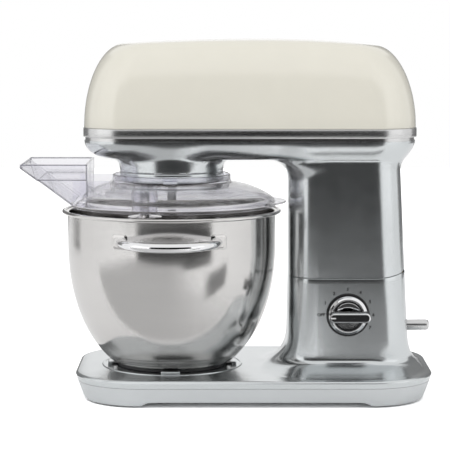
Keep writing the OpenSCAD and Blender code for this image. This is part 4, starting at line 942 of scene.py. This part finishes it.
def make_spout():
    tip, tip_z, low, top = SPOUT_LO[0], 240.0, SPOUT_LO[2], SPOUT_HI[2]
    end, inner, shelf, hw, low_hw = -161.0, -144.0, FEED_TOP + 0.3, SPOUT_HI[1], FEED_HW - 0.3
    rise, back = CLEAR_WALL * 1.2, inner - CLEAR_WALL

    def chute_x(z):
        """Front of the chute, which slopes from its tip to its end."""
        return tip + (tip_z - z) * (end - tip) / (tip_z - low)

    outline = [(tip, tip_z), (chute_x(shelf), shelf), (inner, shelf), (inner, top), (tip, top)]
    spout = slab("feed_chute", outline, -hw, hw)
    outline = [(chute_x(shelf + 2), shelf + 2), (end, low), (inner, low), (inner, shelf + 2)]
    cut(spout, slab("lower", outline, -low_hw, low_hw), operation="UNION")
    trough_z = shelf + CLEAR_WALL
    outline = [(tip - 1, tip_z + rise), (tip, tip_z + rise), (chute_x(trough_z) + rise * 1.3, trough_z),
               (back, trough_z), (back, top + 1), (tip - 1, top + 1)]
    trough = slab("trough", outline, -hw + CLEAR_WALL, hw - CLEAR_WALL)
    outline = [(chute_x(shelf + 6), shelf + 6 + rise), (end, low + rise), (end, low - 1), (back, low - 1),
               (back, shelf + 9)]
    cut(spout, trough, slab("chute", outline, -low_hw + CLEAR_WALL, low_hw - CLEAR_WALL))
    dress(spout, "guard", "clear_plastic", ["feed_spout"], 30)

    # Thin dark beads along every edge of the spout: painted shade, standing in for the dark lines that its
    # clear edges show.
    bead = 0.6
    left, right, crest = tip + 1.2, inner - bead, top - bead
    bend_x, bend_z = chute_x(shelf) + 1.2, shelf + 1.0
    edge_shades = []
    for side in (-1, 1):
        y, low_y = side * (hw - bead), side * (low_hw - bead)
        runs = [[(left, y, tip_z), (left, y, crest), (right, y, crest), (right, y, shelf + 1)],
                [(left, y, tip_z), (bend_x, y, bend_z)], [(bend_x, y, bend_z), (right, y, bend_z)],
                [(bend_x, low_y, bend_z), (end + 1.2, low_y, low + 1)],
                [(right, low_y, shelf), (right, low_y, low + 1)]]
        edge_shades += [tube("spout_edge_shades", pair, bead, 8) for run in runs for pair in zip(run, run[1:])]
    for x, z in ((left, crest), (left, tip_z), (right, crest), (bend_x, bend_z)):
        edge_shades.append(tube("spout_edge_shades", [(x, -hw + bead, z), (x, hw - bead, z)], bead, 8))
    dress(join(*edge_shades), "guard", "clear_plastic", (), 40, CLEAR_EDGE_SHADE)


# ---- bowl

def make_bowl():
    bowl_z, top, rim_r = upright("bowl")
    wall, bead_r, foot_r, belly_z, power = 1.5, 2, 61.0, 160.0, 2.2
    rim_z = top - bead_r
    belly_h = (belly_z - bowl_z) / (1 - (foot_r / BOWL_R) ** power) ** (1 / power)

    def belly(z, inset=0.0):
        """Radius of the bowl at a height."""
        return (BOWL_R - inset) * (1 - (max(belly_z - z, 0) / (belly_h - inset)) ** power) ** (1 / power)

    zs = np.linspace(bowl_z + 4.4, belly_z, 60)
    crease, crease_z, floor_z = belly(zs[0]), zs[0], bowl_z + 4.6
    outer = [(0, bowl_z), (foot_r - 3.4, bowl_z), (foot_r - 2.7, bowl_z + 0.2), (foot_r - 2.4, bowl_z + 0.8),
             (crease - 1.6, crease_z - 0.7), (crease - 1.5, crease_z - 0.4), (crease - 0.7, crease_z - 0.2)]
    outer += [(belly(z), z) for z in zs]
    turn_out = [(BOWL_R, belly_z + 1), (BOWL_R, rim_z - 1), (rim_r - 3.6, rim_z - 1)]
    outer += [*rounded(turn_out, 2.2, 5)]
    outer += [(rim_r - bead_r + bead_r * math.cos(a), rim_z + bead_r * math.sin(a))
              for a in np.radians(np.arange(210, 511, 15))]
    turn_in = [(rim_r - 3.6, rim_z + 0.5), (BOWL_R - wall, rim_z + 0.5), (BOWL_R - wall, belly_z)]
    outer += [*rounded(turn_in, 2.6, 5)]
    outer += [(belly(z, wall), z) for z in zs[::-1][1:] if z > floor_z + 1]
    outer += [(outer[-1][0] - 2.5, floor_z), (0, floor_z)]
    dress(lathe("mixing_bowl", outer, BOWL_AXIS, 256), "bowl_unit", "bowl_steel", ["bowl"], 50)

    outline = [(47, 29.3), (57.8, 29.3), (57.8, 32), (47, 32)]
    ring = lathe("foot_base", rounded(outline, 0.4), BOWL_AXIS, 160, closed=True)
    join(ring, *[sector("lug", 57, 63.5, 29.3, 30.6, a, 7.4) for a in QUARTERS])
    dress(ring, "bowl_unit", "black_plastic", ["bowl_foot_ring"], 40)


def make_handles():
    """Two bent rods on the bowl's wall, each with a plate under both of its ends."""
    hw, fall, z = HANDLE_HW, math.radians(HANDLE_FALL), HANDLE_Z
    foot_y = math.sqrt(BOWL_R ** 2 - hw ** 2)
    out = HANDLE_REACH - foot_y
    bend = (hw ** 2 + out ** 2) / (2 * out)
    half = math.asin(hw / bend) + 0.02
    a = np.linspace(-half, half, 80)
    outline = plan(-PLATE_R * 1.12, PLATE_R * 1.12, PLATE_R, 3.5, 6, 3)
    rods, plates = [], []
    for side in (1, -1):
        reach = HANDLE_REACH - bend + bend * np.cos(a) * math.cos(fall)
        drop = bend * np.cos(a) * math.sin(fall)
        path = np.column_stack((BOWL_X + bend * np.sin(a), side * reach, z - drop))
        rods.append(tube("bowl_grips", path, HANDLE_R, 28))
        for k in (-1, 1):
            middle = math.atan2(side * foot_y, k * (hw + 1))
            rings = []
            for scale, lift in ((1, -0.3), (1, 0.8), (0.93, 1.2), (0.6, 1.2), (0.2, 1.2)):
                around = middle + outline[:, 0] * scale / BOWL_R
                r = BOWL_R + lift
                x, y = BOWL_X + r * np.cos(around), r * np.sin(around)
                rings.append(np.column_stack((x, y, z + outline[:, 1] * scale)))
            plates.append(loft("grip_plates", rings))
    dress(join(*rods), "bowl_unit", "chrome", ["bowl_handles"], 40)
    dress(join(*plates), "bowl_unit", "bowl_steel", (), 40)


for make in (make_stand, make_tray, make_seat, make_dial, make_grip, make_numerals, make_rod, make_arm,
             make_cover, make_hub, make_guard, make_spout, make_bowl, make_handles):
    make()


# ---- camera, light and background

def area(name, place, aim, size, power):
    light = bpy.data.lights.new(name, "AREA")
    light.size, light.energy = size, power
    ob = add(name, light)
    ob.location = place
    ob.rotation_euler = (Vector(aim) - Vector(place)).to_track_quat("-Z", "Y").to_euler()
    ob.visible_glossy = False


def make_camera():
    camera = bpy.data.cameras.new("camera")
    camera.lens, camera.sensor_width = 151.4, 36
    ob = add("camera", camera)
    ob.location = (-0.003, -1.983, 0.392)
    ob.rotation_euler = (math.radians(90 - 6.21), 0, 0)
    bpy.context.scene.camera = ob


def make_world():
    world = bpy.data.worlds.new("studio")
    world.use_nodes = True
    nodes = world.node_tree.nodes
    strength = map_range(nodes, 1.0, 0.75)
    wire(put(nodes, "LightPath"), "Is Diffuse Ray", strength, "Value")
    wire(strength, "Result", nodes["Background"], "Strength")
    nodes["Background"].inputs["Color"].default_value = (1, 1, 1, 1)
    bpy.context.scene.world = world


def white_paper():
    """Plain paper for the light that it passes on, and brighter for the camera and in reflections."""
    mat, nodes = bare_material("white_paper")
    path, shader = put(nodes, "LightPath"), put(nodes, "BsdfDiffuse")
    passed_on, seen = map_range(nodes, 1.15, 0.85), map_range(nodes, 0.0, 1.9)
    wire(path, "Is Diffuse Ray", passed_on, "Value")
    wire(passed_on, "Result", seen, "To Min")
    wire(path, "Is Camera Ray", seen, "Value")
    wire(seen, "Result", shader, "Color")
    wire(shader, "BSDF", nodes["Material Output"], "Surface")
    return mat


def card_finish(name, foot, top, fades):
    """Card with a brightness at its foot and one at its top, clear at its edges. Each fade is an axis of the
    card and the shares of its length over which it fades in and out."""
    mat, nodes = bare_material(name)
    apart = put(nodes, "SeparateXYZ")
    wire(put(nodes, "TexCoord"), "Generated", apart, "Vector")

    def fade(axis, start, end, low=0.0, high=1.0):
        step = map_range(nodes, low, high, start, end)
        step.interpolation_type = "SMOOTHSTEP"
        wire(apart, axis, step, "Value")
        return step

    shares = [fade(axis, 0, a) for axis, a, b in fades if a]
    shares += [fade(axis, 1, 1 - b) for axis, a, b in fades if b]
    solid, out = shares[0], "Result"
    for share in shares[1:]:
        both = put(nodes, "Math")
        both.operation = "MULTIPLY"
        wire(solid, out, both, 0)
        wire(share, "Result", both, 1)
        solid, out = both, "Value"
    light, mix = put(nodes, "Emission"), put(nodes, "MixShader")
    wire(fade("Z", 0, 0.4, foot, top), "Result", light, "Strength")
    wire(solid, out, mix, "Fac")
    wire(put(nodes, "BsdfTransparent"), "BSDF", mix, 1)
    wire(light, "Emission", mix, 2)
    wire(mix, "Shader", nodes["Material Output"], "Surface")
    return mat


def card(name, low, high, foot, top, fades):
    """A card of the studio that only reflections show."""
    ob = box(name, low, high)
    ob.data.materials.append(card_finish(name, foot, top, fades))
    ob.visible_camera = ob.visible_diffuse = ob.visible_shadow = ob.visible_transmission = False


def make_stage():
    floor = box("floor", (-3000, -3000, -5), (3000, 3000, 0))
    floor.data.materials.append(white_paper())
    card("front_card", (-560, -652, 0), (600, -650, 490), 0.12, 0.01, (("X", 0.12, 0.12), ("Z", 0, 0.12)))
    bowl_fades = (("X", 0.45, 0.3), ("Y", 0, 0.03))
    card("bowl_card", (-760, -649, 36), (130, -95, 37), 0.64, 0.64, bowl_fades)
    card("bowl_card_under", (-760, -649, 34), (130, -95, 35), 1.12, 1.12, bowl_fades)
    card("stand_card", (75, -242, 1), (330, -240, 96), 0.3, 0.3, (("X", 0.3, 0.2), ("Z", 0, 0.35)))
    card("left_card", (-1002, -1500, 50), (-1000, 0, 900), 1.3, 1.3, (("Y", 0.2, 0.2), ("Z", 0.2, 0.2)))
    card("right_card", (1200, -1500, 50), (1202, -100, 900), 1.25, 1.25, (("Y", 0.2, 0.2), ("Z", 0.2, 0.2)))
    for side in (-1, 1):
        near, far = sorted((side * 1000, side * 1003))
        card("side_dark", (near, 330, 2), (far, 1500, 1200), 0.2, 0.25, (("Y", 0.25, 0.1), ("Z", 0.05, 0.2)))
        near, far = sorted((side * 260, side * 990))
        card("back_dark", (near, 1300, 2), (far, 1303, 1200), 0.2, 0.25,
             (("X", 0.15, 0.15), ("Z", 0.05, 0.2)))


make_camera()
make_world()
make_stage()
MIDDLE = (0, 0, 0.2)  # what the lamps are aimed at, in metres
area("key", (-0.9, -1.4, 1.6), MIDDLE, 1.2, 10)
area("fill", (1.3, -1.2, 1.0), MIDDLE, 1.2, 4)

bpy.context.scene.view_settings.view_transform = "Standard"
